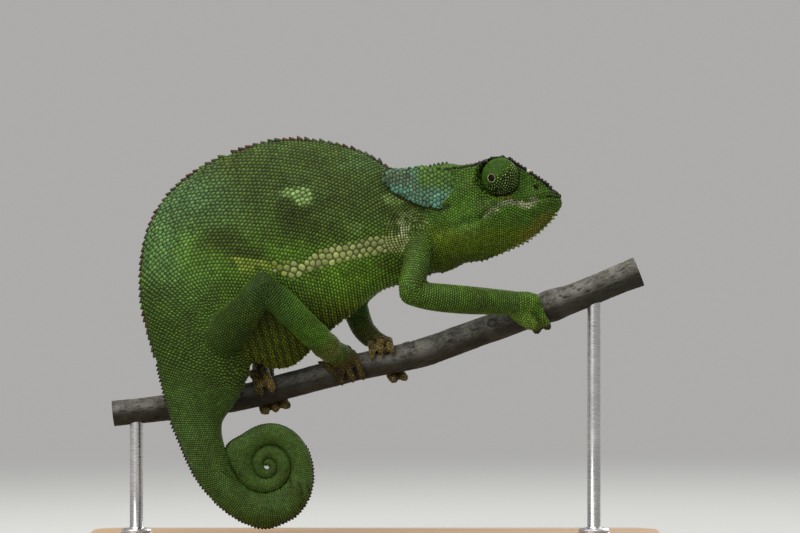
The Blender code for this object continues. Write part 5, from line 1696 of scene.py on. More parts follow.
def scale_tree():
    """Domes set on points and stretched along eight spokes to fit against their neighbours."""
    tree = bpy.data.node_groups.new("fitted_scales", "GeometryNodeTree")
    face = tree.interface
    face.new_socket("Geometry", in_out="INPUT", socket_type="NodeSocketGeometry")
    for name, kind, value in (("Rings", "NodeSocketInt", 3), ("Sink", "NodeSocketFloat", 0.00012),
                              ("Patch", "NodeSocketFloat", PATCH), ("Roundness", "NodeSocketFloat", 2.2)):
        face.new_socket(name, in_out="INPUT", socket_type=kind).default_value = value
    face.new_socket("Finish", in_out="INPUT", socket_type="NodeSocketMaterial")
    face.new_socket("Geometry", in_out="OUTPUT", socket_type="NodeSocketGeometry")
    given = put(tree, "NodeGroupInput").outputs
    dome = put(tree, "GeometryNodeMeshCone", Vertices=SPOKES, Side_Segments=given["Rings"], Radius_Top=0.0,
               Radius_Bottom=1.0, Depth=1.0)
    place = put(tree, "GeometryNodeInputPosition").outputs[0]
    parts = put(tree, "ShaderNodeSeparateXYZ", Vector=place).outputs
    radius = vectors(tree, "LENGTH", put(tree, "ShaderNodeCombineXYZ", X=parts["X"], Y=parts["Y"]).outputs[0])
    level = maths(tree, "SUBTRACT", 1.0, radius)
    turn = maths(tree, "ARCTAN2", parts["Y"], parts["X"])
    spoke = maths(tree, "ROUND", maths(tree, "DIVIDE", turn, 2 * math.pi / SPOKES))
    spoke = maths(tree, "FLOORED_MODULO", spoke, float(SPOKES))
    shape = put(tree, "ShaderNodeCombineXYZ", X=maths(tree, "COSINE", turn), Y=maths(tree, "SINE", turn), Z=level)
    kept = keep_value(tree, dome.outputs["Mesh"], "shape", shape.outputs[0], "FLOAT_VECTOR")
    kept = keep_value(tree, kept, "spoke", spoke, "INT")
    kept = keep_value(tree, kept, "rise", level)
    many = put(tree, "GeometryNodeInstanceOnPoints", Points=given["Geometry"], Instance=kept)
    real = put(tree, "GeometryNodeRealizeInstances", Geometry=many.outputs[0])
    parts = put(tree, "ShaderNodeSeparateXYZ", Vector=named(tree, "shape", "FLOAT_VECTOR")).outputs
    pick = tree.nodes.new("GeometryNodeIndexSwitch")
    pick.data_type = "FLOAT"
    while len(pick.index_switch_items) < SPOKES:
        pick.index_switch_items.new()
    link(tree, named(tree, "spoke", "INT"), pick.inputs["Index"])
    for i in range(SPOKES):
        link(tree, named(tree, f"reach_{i}"), pick.inputs[i + 1])
    level = parts["Z"]
    # A scale's calm raises its rise, which weakens the painted groove shade of the scale tone
    calmed = keep_value(tree, real.outputs[0], "rise", maths(tree, "MAXIMUM", level, named(tree, "calm")))
    domed = maths(tree, "SQRT", maths(tree, "SUBTRACT", 1.0, maths(tree, "POWER", level, given["Roundness"])))
    coned = maths(tree, "SUBTRACT", 1.0, level)
    taper = named(tree, "taper")
    width = maths(tree, "ADD", maths(tree, "MULTIPLY", domed, maths(tree, "SUBTRACT", 1.0, taper)),
                  maths(tree, "MULTIPLY", coned, taper))
    reach = maths(tree, "MULTIPLY", width, pick.outputs[0])
    out, lie = named(tree, "out", "FLOAT_VECTOR"), named(tree, "lie", "FLOAT_VECTOR")
    across = vectors(tree, "CROSS_PRODUCT", out, lie)
    sink = given["Sink"]
    whole = maths(tree, "ADD", named(tree, "tall"), sink)
    height = maths(tree, "SUBTRACT", maths(tree, "MULTIPLY", level, whole), sink)
    spot = named(tree, "root", "FLOAT_VECTOR")
    for way, amount in ((lie, maths(tree, "MULTIPLY", parts["X"], reach)),
                        (across, maths(tree, "MULTIPLY", parts["Y"], reach)), (out, height),
                        (named(tree, "lean", "FLOAT_VECTOR"), maths(tree, "POWER", level, 1.5))):
        spot = vectors(tree, "ADD", spot, vectors(tree, "SCALE", way, factor=amount))
    moved = put(tree, "GeometryNodeSetPosition", Geometry=calmed, Position=spot)
    flat = put(tree, "ShaderNodeCombineXYZ", X=maths(tree, "MULTIPLY", parts["X"], domed),
               Y=maths(tree, "MULTIPLY", parts["Y"], domed)).outputs[0]
    half = maths(tree, "MULTIPLY", given["Patch"], 0.5)
    flat = vectors(tree, "ADD", named(tree, "place", "FLOAT_VECTOR"), vectors(tree, "SCALE", flat, factor=half))
    mapped = keep_value(tree, moved.outputs[0], UV_NAME, flat, "FLOAT2", "CORNER")
    shaded = put(tree, "GeometryNodeSetShadeSmooth", Geometry=mapped, Shade_Smooth=True)
    finished = put(tree, "GeometryNodeSetMaterial", Geometry=shaded.outputs[0], Material=given["Finish"])
    link(tree, finished.outputs[0], put(tree, "NodeGroupOutput").inputs[0])
    return tree


def store(mesh, name, kind, values, domain="POINT"):
    """Keeps values on a mesh by name."""
    item = mesh.attributes.new(name, kind, domain)
    field = {"FLOAT": "value", "FLOAT_VECTOR": "vector", "FLOAT_COLOR": "color", "INT": "value"}[kind]
    item.data.foreach_set(field, np.asarray(values, np.float32 if kind != "INT" else np.int32).ravel())


def with_alpha(colours):
    """Linear colours with a fourth value of one."""
    flat = linear(colours)
    return np.concatenate([flat, np.ones((len(flat), 1))], axis=1)


def add_piece(name, mesh, finish):
    """Puts a finished mesh in the scene."""
    if not mesh.materials:
        mesh.materials.append(finish)
    return set_out(name, mesh)


def grown_piece(name, tree, record, rings, finish):
    """A plain mesh of scales grown from a record by the tree."""
    mesh = mesh_of(f"{name}_roots", record["root"], [])
    kept = {
        "root": record["root"] * MM, "lean": record["lean"] * MM, "out": record["out"], "lie": record["lie"],
        "place": np.pad(record["place"], ((0, 0), (0, 1))),
        "tall": record["tall"] * MM, "taper": record["taper"], "calm": record["calm"],
        **{f"reach_{i}": record["reach"][:, i] * MM for i in range(SPOKES)},
    }
    for key, values in kept.items():
        store(mesh, key, "FLOAT" if values.ndim == 1 else "FLOAT_VECTOR", values)
    store(mesh, "tint", "FLOAT_COLOR", with_alpha(record["tint"]))
    roots = set_out(f"{name}_roots", mesh)
    step = roots.modifiers.new("grow", "NODES")
    step.node_group = tree
    given = {"Rings": rings, "Sink": SCALE_SINK * MM, "Finish": finish}
    for socket in tree.interface.items_tree:
        if socket.in_out == "INPUT" and socket.name in given:
            step[socket.identifier] = given[socket.name]
    grown = plain_copy(roots)
    for item in (*kept, "shape", "spoke"):
        grown.attributes.remove(grown.attributes[item])
    grown.name = name
    return add_piece(name, grown, finish)


# Finishes

def shader_group(name, **inputs):
    """An empty group of shader nodes that gives a colour, a roughness and a height."""
    tree = bpy.data.node_groups.new(name, "ShaderNodeTree")
    for label, value in inputs.items():
        kind = {4: "Color", 3: "Vector"}.get(np.size(value), "Float")
        tree.interface.new_socket(label, in_out="INPUT", socket_type=f"NodeSocket{kind}").default_value = value
    for label, kind in (("Color", "Color"), ("Roughness", "Float"), ("Height", "Float")):
        tree.interface.new_socket(label, in_out="OUTPUT", socket_type=f"NodeSocket{kind}")
    return tree, put(tree, "NodeGroupInput").outputs, put(tree, "NodeGroupOutput").inputs


def noise_node(tree, place, scale, detail=3.0, rough=0.55):
    """A noise texture's value."""
    return put(tree, "ShaderNodeTexNoise", Vector=place, Scale=scale, Detail=detail, Roughness=rough).outputs[0]


def ranged(tree, value, low, high, to_low=0.0, to_high=1.0):
    """A value mapped smoothly from one range to another."""
    node = put(tree, "ShaderNodeMapRange", interpolation_type="SMOOTHSTEP")
    for socket, item in zip(node.inputs, (value, low, high, to_low, to_high)):
        link(tree, item, socket)
    return node.outputs[0]


def mixed(tree, share, first, second, blend="MIX"):
    """Two colours mixed."""
    node = put(tree, "ShaderNodeMix", data_type="RGBA", blend_type=blend)
    for number, value in ((0, share), (6, first), (7, second)):
        link(tree, value, node.inputs[number])
    return node.outputs[2]


def grey(tree, value):
    """A grey as light as a value."""
    return put(tree, "ShaderNodeCombineColor", Red=value, Green=value, Blue=value).outputs[0]


def scale_tone_group():
    """Scales: painted shade where they sink between their neighbours, a painted highlight on top, and a random
    speckle.
    """
    tree, given, result = shader_group("scale tone", Tint=(0.1, 0.2, 0.05, 1.0), Rise=0.0, Groove=0.3, Lift=0.2,
                                       Speckle=900.0)
    place = object_place(tree)
    coarse = noise_node(tree, place, 240.0, 2.0)
    speckle = noise_node(tree, place, given["Speckle"], 3.0)
    grain = noise_node(tree, place, 4200.0, 2.0)
    # Painted shade: the tint darkened towards each scale's edge, where it sinks into the groove
    dark = mixed(tree, 1.0, given["Tint"], put(tree, "ShaderNodeCombineColor", Red=given["Groove"],
                 Green=given["Groove"], Blue=maths(tree, "MULTIPLY", given["Groove"], 0.8)).outputs[0], "MULTIPLY")
    colour = mixed(tree, ranged(tree, given["Rise"], 0.0, 0.62, 0.0, 1.0), dark, given["Tint"])
    # Painted highlight: the tint lightened towards each scale's top
    top = maths(tree, "MULTIPLY", ranged(tree, given["Rise"], 0.55, 1.0, 0.0, 1.0), given["Lift"])
    colour = mixed(tree, top, colour, (0.22, 0.3, 0.1))
    value = maths(tree, "MULTIPLY", ranged(tree, coarse, 0.3, 0.7, 0.86, 1.14),
                  ranged(tree, speckle, 0.3, 0.7, 0.85, 1.15))
    link(tree, mixed(tree, 1.0, colour, grey(tree, value), "MULTIPLY"), result["Color"])
    link(tree, ranged(tree, speckle, 0.25, 0.75, 0.75, 0.52), result["Roughness"])
    link(tree, maths(tree, "ADD", maths(tree, "MULTIPLY", grain, 0.5), speckle), result["Height"])
    return tree


def wood_grain_group():
    """Planed wood: long rings with fine pores, from a place stretched along the grain."""
    tree, given, result = shader_group("planed wood grain", Place=(0.0, 0.0, 0.0), Light=(0.5, 0.33, 0.18, 1.0),
                                       Dark=(0.3, 0.17, 0.08, 1.0), Figure=60.0)
    long = put(tree, "ShaderNodeMapping", Vector=given["Place"], Scale=(0.07, 1.0, 1.4)).outputs[0]
    bend = noise_node(tree, long, 22.0, 2.0)
    aside = put(tree, "ShaderNodeCombineXYZ", Y=maths(tree, "MULTIPLY", bend, 0.03)).outputs[0]
    moved = vectors(tree, "ADD", long, aside)
    wave = put(tree, "ShaderNodeTexWave", wave_type="BANDS", bands_direction="Y", Vector=moved,
               Scale=given["Figure"], Distortion=4.0, Detail=3.0, Detail_Scale=1.5)
    drawn = put(tree, "ShaderNodeMapping", Vector=given["Place"], Scale=(0.05, 1.0, 1.0)).outputs[0]
    pores = noise_node(tree, drawn, 1500.0, 4.0, 0.7)
    share = maths(tree, "ADD", maths(tree, "MULTIPLY", wave.outputs["Fac"], 0.6), maths(tree, "MULTIPLY", pores, 0.4))
    colour = mixed(tree, ranged(tree, share, 0.2, 0.85, 0.0, 1.0), given["Light"], given["Dark"])
    link(tree, mixed(tree, ranged(tree, pores, 0.62, 0.78, 0.0, 0.45), colour, given["Dark"]), result["Color"])
    link(tree, ranged(tree, pores, 0.3, 0.7, 0.42, 0.6), result["Roughness"])
    link(tree, maths(tree, "SUBTRACT", maths(tree, "MULTIPLY", wave.outputs["Fac"], 0.2), pores), result["Height"])
    return tree


def bark_group():
    """Weathered bark: pale dry ridges, dark cracks along the branch, and painted shade on the underside and where the
    animal shades it.
    """
    tree, given, result = shader_group("weathered bark", Place=(0.0, 0.0, 0.0), Crack=0.0, Underside=0.0, Cut=0.0)
    long = put(tree, "ShaderNodeMapping", Vector=given["Place"], Scale=(0.34, 1.0, 1.0)).outputs[0]
    streak = noise_node(tree, long, 1900.0, 5.0, 0.75)
    grit = noise_node(tree, given["Place"], 2300.0, 3.0, 0.7)
    patch = noise_node(tree, given["Place"], 170.0, 4.0, 0.6)
    colour = mixed(tree, ranged(tree, streak, 0.34, 0.66, 0.0, 1.0), (0.026, 0.024, 0.019), (0.115, 0.11, 0.09))
    colour = mixed(tree, ranged(tree, patch, 0.46, 0.66, 0.0, 0.6), colour, (0.2, 0.197, 0.175))
    colour = mixed(tree, ranged(tree, grit, 0.5, 0.72, 0.0, 0.55), colour, (0.27, 0.262, 0.24))
    colour = mixed(tree, ranged(tree, given["Crack"], 0.25, 0.9, 0.0, 0.8), colour, (0.012, 0.01, 0.007))
    # Painted shade: darker by the shade input
    colour = mixed(tree, maths(tree, "MULTIPLY", given["Underside"], 0.9), colour, (0.011, 0.01, 0.004))
    rings = noise_node(tree, given["Place"], 700.0, 3.0)
    sawn = mixed(tree, ranged(tree, rings, 0.35, 0.65, 0.0, 1.0), (0.42, 0.3, 0.17), (0.27, 0.18, 0.1))
    link(tree, mixed(tree, given["Cut"], colour, sawn), result["Color"])
    link(tree, ranged(tree, patch, 0.3, 0.7, 0.92, 0.72), result["Roughness"])
    link(tree, maths(tree, "ADD", streak, maths(tree, "MULTIPLY", grit, 0.6)), result["Height"])
    return tree


def brushed_group():
    """Steel brushed round the rod, with a little dust in the lines."""
    tree, given, result = shader_group("brushed steel", Place=(0.0, 0.0, 0.0), Tone=(0.6, 0.6, 0.61, 1.0))
    drawn = put(tree, "ShaderNodeMapping", Vector=given["Place"], Scale=(0.08, 0.08, 1.0)).outputs[0]
    lines = noise_node(tree, drawn, 5200.0, 3.0, 0.7)
    smudge = noise_node(tree, given["Place"], 90.0, 2.0)
    shade = grey(tree, ranged(tree, lines, 0.3, 0.7, 0.8, 1.1))
    link(tree, mixed(tree, 1.0, given["Tone"], shade, "MULTIPLY"), result["Color"])
    link(tree, maths(tree, "ADD", ranged(tree, lines, 0.3, 0.7, 0.2, 0.36),
                     ranged(tree, smudge, 0.4, 0.7, 0.0, 0.12)),
         result["Roughness"])
    link(tree, lines, result["Height"])
    return tree


def stored(tree, name, output="Fac"):
    """A value stored on the mesh, read by a material."""
    return put(tree, "ShaderNodeAttribute", attribute_name=name).outputs[output]


def finish_with(name, group, inputs, bump=0.2, depth=0.00005, plain=None):
    """A material whose colour, roughness and bump come from one group of nodes."""
    material = bpy.data.materials.new(name)
    material.use_nodes = True
    tree = material.node_tree
    shader = tree.nodes["Principled BSDF"]
    for key, value in (plain or {}).items():
        shader.inputs[key].default_value = value
    node = tree.nodes.new("ShaderNodeGroup")
    node.node_tree = group
    for key, value in inputs.items():
        link(tree, value(tree) if callable(value) else value, node.inputs[key])
    link(tree, node.outputs["Color"], shader.inputs["Base Color"])
    link(tree, node.outputs["Roughness"], shader.inputs["Roughness"])
    relief = put(tree, "ShaderNodeBump", Strength=bump, Distance=depth, Height=node.outputs["Height"])
    link(tree, relief.outputs["Normal"], shader.inputs["Normal"])
    return material


def object_place(tree):
    """The place on the piece itself."""
    return put(tree, "ShaderNodeTexCoord").outputs["Object"]


def finishes():
    """Every material of the model by a plain name."""
    scales, wood, bark, steel = scale_tone_group(), wood_grain_group(), bark_group(), brushed_group()

    def tint(tree):
        return stored(tree, "tint", "Color")

    def rise(tree):
        return stored(tree, "rise")

    def grain(tree):
        return stored(tree, "grain", "Vector")

    return {
        # The scales get painted shade at their edges and a painted highlight on top from the scale tone
        "scales": finish_with("scales", scales, {"Tint": tint, "Rise": rise, "Groove": 0.42, "Lift": 0.06},
                              0.25, 0.00004, {"Specular IOR Level": 0.12}),
        # The skin between the scales: its tint darkened throughout, as painted shade in the gaps
        "between scales": finish_with("skin_between_scales", scales, {"Tint": tint, "Groove": 0.26}, 0.3, 0.00005,
                                      {"Specular IOR Level": 0.12}),
        "eye": finish_with("eye_gloss", scales, {"Tint": tint, "Groove": 1.0, "Lift": 0.0}, 0.02,
                           0.00001, {"Specular IOR Level": 0.1, "Coat Weight": 0.16, "Coat Roughness": 0.05}),
        "claw": finish_with("claw_horn", scales, {"Tint": (0.035, 0.025, 0.017, 1.0), "Groove": 1.0, "Lift": 0.0,
                            "Speckle": 1800.0}, 0.15, 0.00003, {"Coat Weight": 0.25}),
        "bark": finish_with("bark_of_branch", bark, {
            "Place": grain, "Crack": lambda tree: stored(tree, "crack"),
            "Underside": lambda tree: stored(tree, "under"),
            "Cut": lambda tree: stored(tree, "cut")}, 0.6, 0.00012, {"Specular IOR Level": 0.3}),
        "wood": finish_with("planed_base_wood", wood, {"Place": object_place}, 0.25, 0.00006, {"Coat Weight": 0.12}),
        "steel": finish_with("brushed_rod_steel", steel, {"Place": object_place}, 0.15, 0.00003, {"Metallic": 1.0}),
    }


# Pieces

def whole_mesh(name, rings_list):
    """One smooth mesh of several closed bodies through rings."""
    points, faces = joined_rings(rings_list)
    mesh = mesh_of(name, points, sum(faces, []))
    face_outward(mesh)
    mesh.shade_smooth()
    return mesh


def build_skin(surface, sheets, split, finish):
    """The one skin under the scales, with its flat map and its colours."""
    points, faces = [surface.points], surface.quads.tolist()
    maps, tints = [], []
    centres = surface.points[surface.quads].mean(axis=1)
    flat = np.zeros((len(faces), 4, 2))
    for number in np.unique(surface.regions):
        chosen = surface.regions == number
        region = REGIONS[number]
        picks = np.repeat(axis_picks(centres[chosen], region, surface.stations[chosen]), 4)
        corners = surface.points[surface.quads[chosen]].reshape(-1, 3)
        length, angle = on_axis(corners, region, picks)
        angle = angle.reshape(-1, 4)
        wraps = (angle.max(axis=1) - angle.min(axis=1)) > np.pi
        angle = np.where(wraps[:, None] & (angle < 0), np.pi, angle)
        flat[chosen] = tile_place(region, length.reshape(-1, 4), angle)
    maps.append(flat.reshape(-1, 2))
    first_face = np.zeros(len(surface.points), int)
    for corner in range(4):
        first_face[surface.quads[:, corner]] = np.arange(len(surface.quads))
    tints.append(by_region(surface, surface.points, first_face, lambda a, b, c: marking(a, b, c, split), 3))
    total = len(surface.points)
    for form, sheet, sheet_faces in sheets:
        region = form["region"]
        count, sides = form["rings"].shape[:2]
        stations = np.repeat(form["stations"], sides)
        points.append(sheet.points)
        tints.append(marking(sheet.points, region, stations, split))
        places = tile_place(region, stations, np.tile((np.arange(sides) / sides - 0.5) * 2 * np.pi, count))
        for face in sheet_faces:
            spots = places[face]
            if len(face) == 4 and np.ptp(spots[:, 1]) > 0.1:
                spots = spots.copy()
                spots[spots[:, 1] < spots[:, 1].mean(), 1] = TILES[region][3]
            maps.append(spots)
            faces.append([corner + total for corner in face])
        total += len(sheet.points)
    mesh = mesh_of("skin", np.concatenate(points), faces)
    mesh.shade_smooth()
    layer = mesh.uv_layers.new(name=UV_NAME)
    layer.data.foreach_set("uv", np.concatenate(maps).astype(np.float32).ravel())
    store(mesh, "tint", "FLOAT_COLOR", with_alpha(np.concatenate(tints)))
    skin = add_piece("skin", mesh, finish)
    nodes = [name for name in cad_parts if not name.startswith(("stand_", "perch_", "eye_"))]
    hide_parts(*nodes)
    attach(skin, "root")


def build_coats(record, tree, finish):
    """The scales in pieces by stretch of the body, each small enough to handle."""
    names, station = record["region"], record["station"]
    x, _, z = record["root"].T

    def among(*regions):
        return np.isin(names, [NUMBERS[region] for region in regions])

    trunk, tail, head = among("trunk"), among("tail"), among("head")
    front, low, upper = x > TRUNK_CUT_X, z < TRUNK_CUT_Z, z > HEAD_CUT_Z
    base = tail & (station < np.median(station[tail]))
    groups = [
        ("scales_of_front_back", trunk & front & ~low, 3, "skin"),
        ("scales_of_front_belly", trunk & front & low, 3, "skin"),
        ("scales_of_rear_back", trunk & ~front & ~low, 3, "skin"),
        ("scales_of_rear_belly", trunk & ~front & low, 3, "skin"),
        ("scales_of_upper_head", head & upper, 3, "skin"),
        ("scales_of_eye_turrets", among("lid_right", "lid_left"), 2, "skin"),
        ("scales_of_jaw_and_throat", head & ~upper, 2, "skin"),
        ("scales_of_tail_base", base, 2, "skin"),
        ("scales_of_coil", tail & ~base, 2, "skin"),
        ("scales_of_forelegs", among("right_foreleg", "left_foreleg"), 2, "skin"),
        ("scales_of_hind_legs", among("right_hindleg", "left_hindleg"), 2, "skin"),
        ("scales_of_feet", np.isin(names, FEET_NUMBERS), 2, "feet"),
    ]
    for name, chosen, rings, slot in groups:
        piece = grown_piece(name, tree, {key: value[chosen] for key, value in record.items()}, rings, finish)
        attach(piece, "root")


def build_eyes(finish):
    """The dark glossy eye in each turret's opening."""
    for side, look in LOOKS.items():
        rings = turned_rings(EYE_OUTLINE, 10, turret_place(side), look, 48)
        mesh = whole_mesh(f"eyeball_{side}", [rings])
        radius = np.linalg.norm(rings - rings.mean(axis=1, keepdims=True), axis=2).ravel()
        iris = paint(repeated(TONES["pupil"], len(radius)), "iris", soft_step(radius, 1.0, 1.06))
        store(mesh, "tint", "FLOAT_COLOR", with_alpha(iris))
        eye = add_piece(f"eyeball_{side}", mesh, finish)
        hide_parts(f"eye_{side}")
        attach(eye, "root")


def claw_rings(rows):
    """One claw, curved down on to the bark."""
    centre, out, along, girth = rows[-1]
    ahead = unit(rows[-1][0] - rows[-2][0])
    turn = turns(12)
    rings = []
    for share in np.linspace(0.0, 1.0, 9):
        size = CLAW_RADIUS * max(0.05, (1 - share) ** 0.8 * (1 - 0.12 * math.sin(share * math.pi)))
        place = centre + ahead * (girth * 0.35 + CLAW_LENGTH * share)
        place = place + out * (girth * 0.15 - girth * 0.85 * share * share)
        rings.append(place + size * (out * np.cos(turn)[:, None] + 0.8 * along * np.sin(turn)[:, None]))
    return np.array(rings)


def build_claws(finish):
    """The claws of each foot."""
    for name, foot in FEET.items():
        claws = whole_mesh(f"claws_{name}", [claw_rings(path) for path in toes_of(foot)])
        piece = add_piece(f"claws_{name}", claws, finish)
        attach(piece, "root")


def build_branch(finish):
    """The cut branch with ridged bark, cracks, a few knots and sawn ends."""
    length_steps, sides = 420, 150
    xs = np.linspace(BRANCH_FINE[0, 0], BRANCH_FINE[-1, 0], length_steps)
    rows = read_at(xs, BRANCH_FINE[:, 0], BRANCH_FINE)
    rows[:, 3] += BRANCH_SWELL[2] * np.exp(-((xs - BRANCH_SWELL[0]) / BRANCH_SWELL[1]) ** 2)
    along = unit(np.gradient(rows[:, :3], axis=0))
    side, up = square_to(along)
    turn = turns(sides)
    around = np.stack([np.cos(turn), np.sin(turn)], 1) * BARK_RADIUS
    flat = np.concatenate([
        np.repeat(walk(rows[:, :3])[:, None, None], sides, axis=1), np.repeat(around[None], length_steps, axis=0),
    ], axis=2).reshape(-1, 3)
    lump = cloud(flat, 9.0, 21)
    streak = cloud(flat * [0.26, 1.0, 1.0], 0.75, 22, 3)
    fine = cloud(flat * [0.6, 1.0, 1.0], 0.36, 23, 2)
    crack = soft_step(-streak, 0.3, 0.6)
    relief = 0.16 * lump - 0.2 * crack + 0.09 * fine
    for place, angle, size, height in BRANCH_KNOTS:
        spot = np.array([math.cos(math.radians(angle)), math.sin(math.radians(angle))]) * BARK_RADIUS
        gap = np.hypot((flat[:, 0] - place) / 1.3, np.linalg.norm(flat[:, 1:] - spot, axis=1)) / size
        relief += height * np.exp(-gap ** 2) - height * 1.2 * np.exp(-(gap / 0.35) ** 2)
        crack = np.maximum(crack, 0.8 * np.exp(-((gap - 0.5) / 0.25) ** 2))
    for place, start, span in BRANCH_CRACKS:
        spin = (np.degrees(np.tile(turn, length_steps)) - start) % 360.0
        line = np.exp(-((flat[:, 0] - place - 0.4 * np.sin(spin / 17.0)) / 0.32) ** 2) * (spin < span)
        relief -= 0.28 * line
        crack = np.maximum(crack, line)
    radius = (np.repeat(rows[:, 3], sides) * 0.985 + relief).reshape(length_steps, sides)
    rings = (rows[:, None, :3] + up[:, None] * (radius * np.cos(turn))[:, :, None]
             + side[:, None] * (radius * np.sin(turn))[:, :, None])
    # Painted shade: darker towards the underside and towards the left, under the animal; also darker towards the
    # right end
    under = soft_step(-np.repeat(np.cos(turn)[None], length_steps, axis=0), -0.5, 0.45)
    shaded = 0.3 * soft_step(-xs, -10.0, 15.0) + 0.2 * soft_step(xs, 48.0, 60.0)
    under = np.clip(under + shaded[:, None], 0.0, 1.0).ravel()
    caps = []
    for end, way in ((0, -1.0), (-1, 1.0)):
        middle = rows[end, :3]
        for size, shift in ((0.96, 0.18), *((size, 0.25) for size in (0.9, 0.7, 0.5, 0.3, 0.1, 0.01))):
            caps.append(middle + (rings[end] - middle) * size + along[end] * way * (shift - 0.3))
    half = len(caps) // 2
    everything = np.concatenate([np.array(caps[:half])[::-1], rings, np.array(caps[half:])])
    cut = np.zeros((len(everything), sides))
    cut[:half - 1] = cut[len(cut) - half + 1:] = 1.0
    mesh = whole_mesh("bark_branch", [everything])
    pad = half * sides
    places = everything.reshape(-1, 3).copy()
    places[pad:-pad] = flat
    store(mesh, "grain", "FLOAT_VECTOR", places * MM)
    for key, values in (("crack", np.pad(crack, pad)), ("under", np.pad(under, pad)), ("cut", cut)):
        store(mesh, key, "FLOAT", values)
    branch = add_piece("bark_branch", mesh, finish)
    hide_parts("perch_branch")
    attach(branch, "root")


def base_ring(inset, z):
    """The base's outline with round corners, drawn in by an inset."""
    corner = BASE_CORNER - inset
    half_x, half_y = BASE_LENGTH / 2 - BASE_CORNER, BASE_WIDTH / 2 - BASE_CORNER
    ring = []
    for quarter, (sx, sy) in enumerate(((1, 1), (-1, 1), (-1, -1), (1, -1))):
        for k in range(17):
            turn = math.radians(90 * quarter + 90 * k / 16)
            ring.append((sx * half_x + corner * math.cos(turn), sy * half_y + corner * math.sin(turn), z))
    return ring


def build_stand(wood, steel):
    """The planed base with eased edges, and the two rods on turned feet."""
    levels = [(0.6, 0.0), (0.25, 0.15), (0.0, 0.6), (0.0, BASE_HEIGHT - BASE_EDGE)]
    for k in range(1, 7):
        turn = math.radians(15 * k)
        levels.append((BASE_EDGE * (1 - math.cos(turn)), BASE_HEIGHT - BASE_EDGE * (1 - math.sin(turn))))
    levels += [(BASE_EDGE + 0.6, BASE_HEIGHT), (BASE_EDGE + 3.0, BASE_HEIGHT)]
    mesh = whole_mesh("base_plate", [np.array([base_ring(*level) for level in levels])])
    mesh.set_sharp_from_angle(angle=math.radians(50))
    base = add_piece("base_plate", mesh, wood)
    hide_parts("stand_base")
    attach(base, "root")
    for name, x in ROD_PLACES.items():
        middle, radius, _ = branch_at(x)
        foot, top = BASE_HEIGHT, BASE_HEIGHT + ROD_FOOT_HEIGHT + 0.3
        wide = ROD_FOOT_RADIUS
        outline = [
            (0.0, foot), (wide - 0.3, foot), (wide, foot + 0.25), (wide, foot + 1.0), (wide - 0.3, foot + 1.25),
            (wide - 0.5, foot + 1.4), (wide - 0.3, foot + 1.55), (wide - 0.3, top - 0.6), (wide - 0.8, top - 0.12),
            (wide - 1.5, top), (ROD_RADIUS + 0.9, top), (ROD_RADIUS + 0.2, top + 0.1), (ROD_RADIUS, top + 0.4),
            (ROD_RADIUS, middle[2] * 0.5), (ROD_RADIUS, middle[2] - radius * 0.6), (0.0, middle[2] - radius * 0.6),
        ]
        turn = turns(56)
        rings = np.array([[(x + max(r, 0.02) * math.cos(t), middle[1] + max(r, 0.02) * math.sin(t), z) for t in turn]
                          for r, z in outline])
        mesh = whole_mesh(f"{name}_turned", [rings])
        mesh.set_sharp_from_angle(angle=math.radians(35))
        rod = add_piece(f"{name}_turned", mesh, steel)
        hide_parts(name)
        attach(rod, "root")


# Studio

ROOM_TONE = (0.88, 0.87, 0.85, 1.0)
ROOM_STRENGTH = 0.47
FLOOR_RADIUS = 3.0
FLOOR_SIDES = 64


def pale_finish():
    """The plain pale floor, fading into the tone of the room further out."""
    material = bpy.data.materials.new("pale_floor")
    material.use_nodes = True
    tree = material.node_tree
    shader = tree.nodes["Principled BSDF"]
    shader.inputs["Base Color"].default_value = (0.45, 0.45, 0.44, 1.0)
    shader.inputs["Roughness"].default_value = 0.9
    shader.inputs["Specular IOR Level"].default_value = 0.1
    glow = put(tree, "ShaderNodeEmission", Color=ROOM_TONE, Strength=ROOM_STRENGTH)
    radius = vectors(tree, "LENGTH", object_place(tree))
    blend = put(tree, "ShaderNodeMixShader", i0=ranged(tree, radius, 0.15, 0.75, 0.0, 1.0))
    link(tree, shader.outputs[0], blend.inputs[1])
    link(tree, glow.outputs[0], blend.inputs[2])
    link(tree, blend.outputs[0], tree.nodes["Material Output"].inputs["Surface"])
    return material


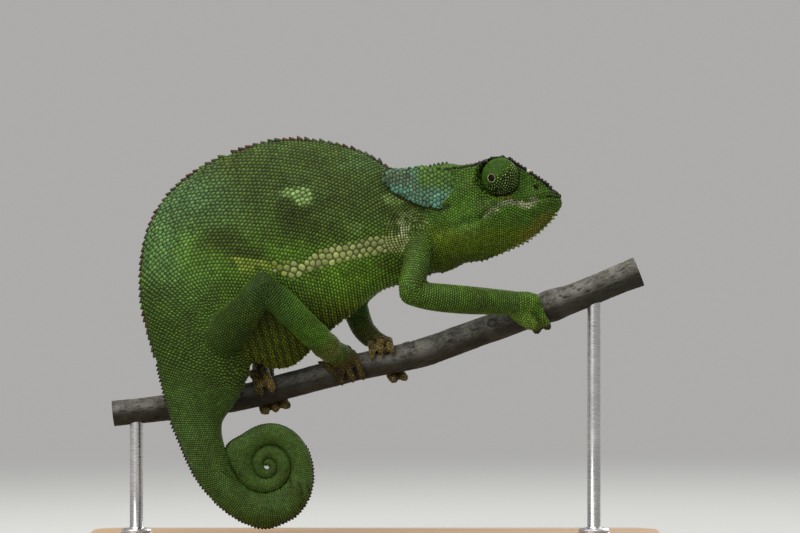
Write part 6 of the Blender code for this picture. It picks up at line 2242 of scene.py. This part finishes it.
def build_studio():
    """Camera, soft lights, pale world and floor."""
    lens = bpy.data.cameras.new("camera")
    lens.lens = 180.0
    lens.sensor_width = 36.0
    lens.clip_start = 0.01
    camera = set_out("camera", lens)
    camera.location = (0.0075, -1.205, 0.08955)
    camera.rotation_euler = (math.radians(90.0), 0.0, 0.0)
    bpy.context.scene.camera = camera
    world = bpy.data.worlds.new("pale_room")
    world.use_nodes = True
    world.node_tree.nodes["Background"].inputs["Color"].default_value = ROOM_TONE
    world.node_tree.nodes["Background"].inputs["Strength"].default_value = ROOM_STRENGTH
    bpy.context.scene.world = world
    bpy.context.scene.view_settings.view_transform = "Standard"
    lights = [
        ("sky_panel", (-0.15, -0.25, 0.75), (0.0, 0.0, 0.09), 0.9, 10.4, (1.0, 0.99, 0.96)),
        ("front_panel", (-0.5, -0.9, 0.45), (0.0, 0.0, 0.09), 0.5, 3.0, (1.0, 0.98, 0.95)),
        ("rear_panel", (0.5, 0.8, 0.5), (0.0, 0.0, 0.09), 0.6, 5.0, (0.95, 0.98, 1.0)),
    ]
    for name, place, target, size, power, colour in lights:
        light = bpy.data.lights.new(name, "AREA")
        light.shape = "SQUARE"
        light.size = size
        light.energy = power
        light.color = colour
        item = set_out(name, light)
        item.location = place
        item.rotation_euler = (Vector(target) - Vector(place)).to_track_quat("-Z", "Y").to_euler()
    points = [(FLOOR_RADIUS * math.cos(turn), FLOOR_RADIUS * math.sin(turn), 0.0) for turn in turns(FLOOR_SIDES)]
    mesh = mesh_of("floor", points, [list(range(FLOOR_SIDES))], 1.0)
    floor = add_piece("floor", mesh, pale_finish())


def build_scene():
    """Everything."""
    build_studio()
    looks = finishes()
    split, join = gather_forms()
    points, quads = fused_flesh()
    edges = edges_of(quads)
    for pull in (0.5, -0.52) * 2:
        points = drawn_in(points, edges, pull, np.ones(len(points)))
    points = soften_joints(points, edges)
    points = sculpt(points, quads)
    labels, stations = label_faces(points[quads].mean(axis=1))
    body = labels == "body"
    labels = np.where(body & (stations < split), "trunk", np.where(body, "tail", labels))
    regions = np.array([NUMBERS[label] for label in labels])
    surface = Surface(points, quads, regions, stations)
    record = grow_scales(surface, split, join)
    sets, sheets = [record], []
    for form in FORMS:
        if form["kind"] == "flesh":
            continue
        sheet, sheet_faces = sheet_surface(form)
        sheets.append((form, sheet, sheet_faces))
        if form["kind"] != "lid":
            sets.append(sheet_scales(form, sheet, split, join))
    sets += [lid_scales(side, split) for side in LOOKS]
    sets.append(crests())
    coats = joined_sets(sets)
    build_skin(surface, sheets, split, looks["between scales"])
    build_coats(coats, scale_tree(), looks["scales"])
    build_eyes(looks["eye"])
    build_claws(looks["claw"])
    build_branch(looks["bark"])
    build_stand(looks["wood"], looks["steel"])


build_scene()
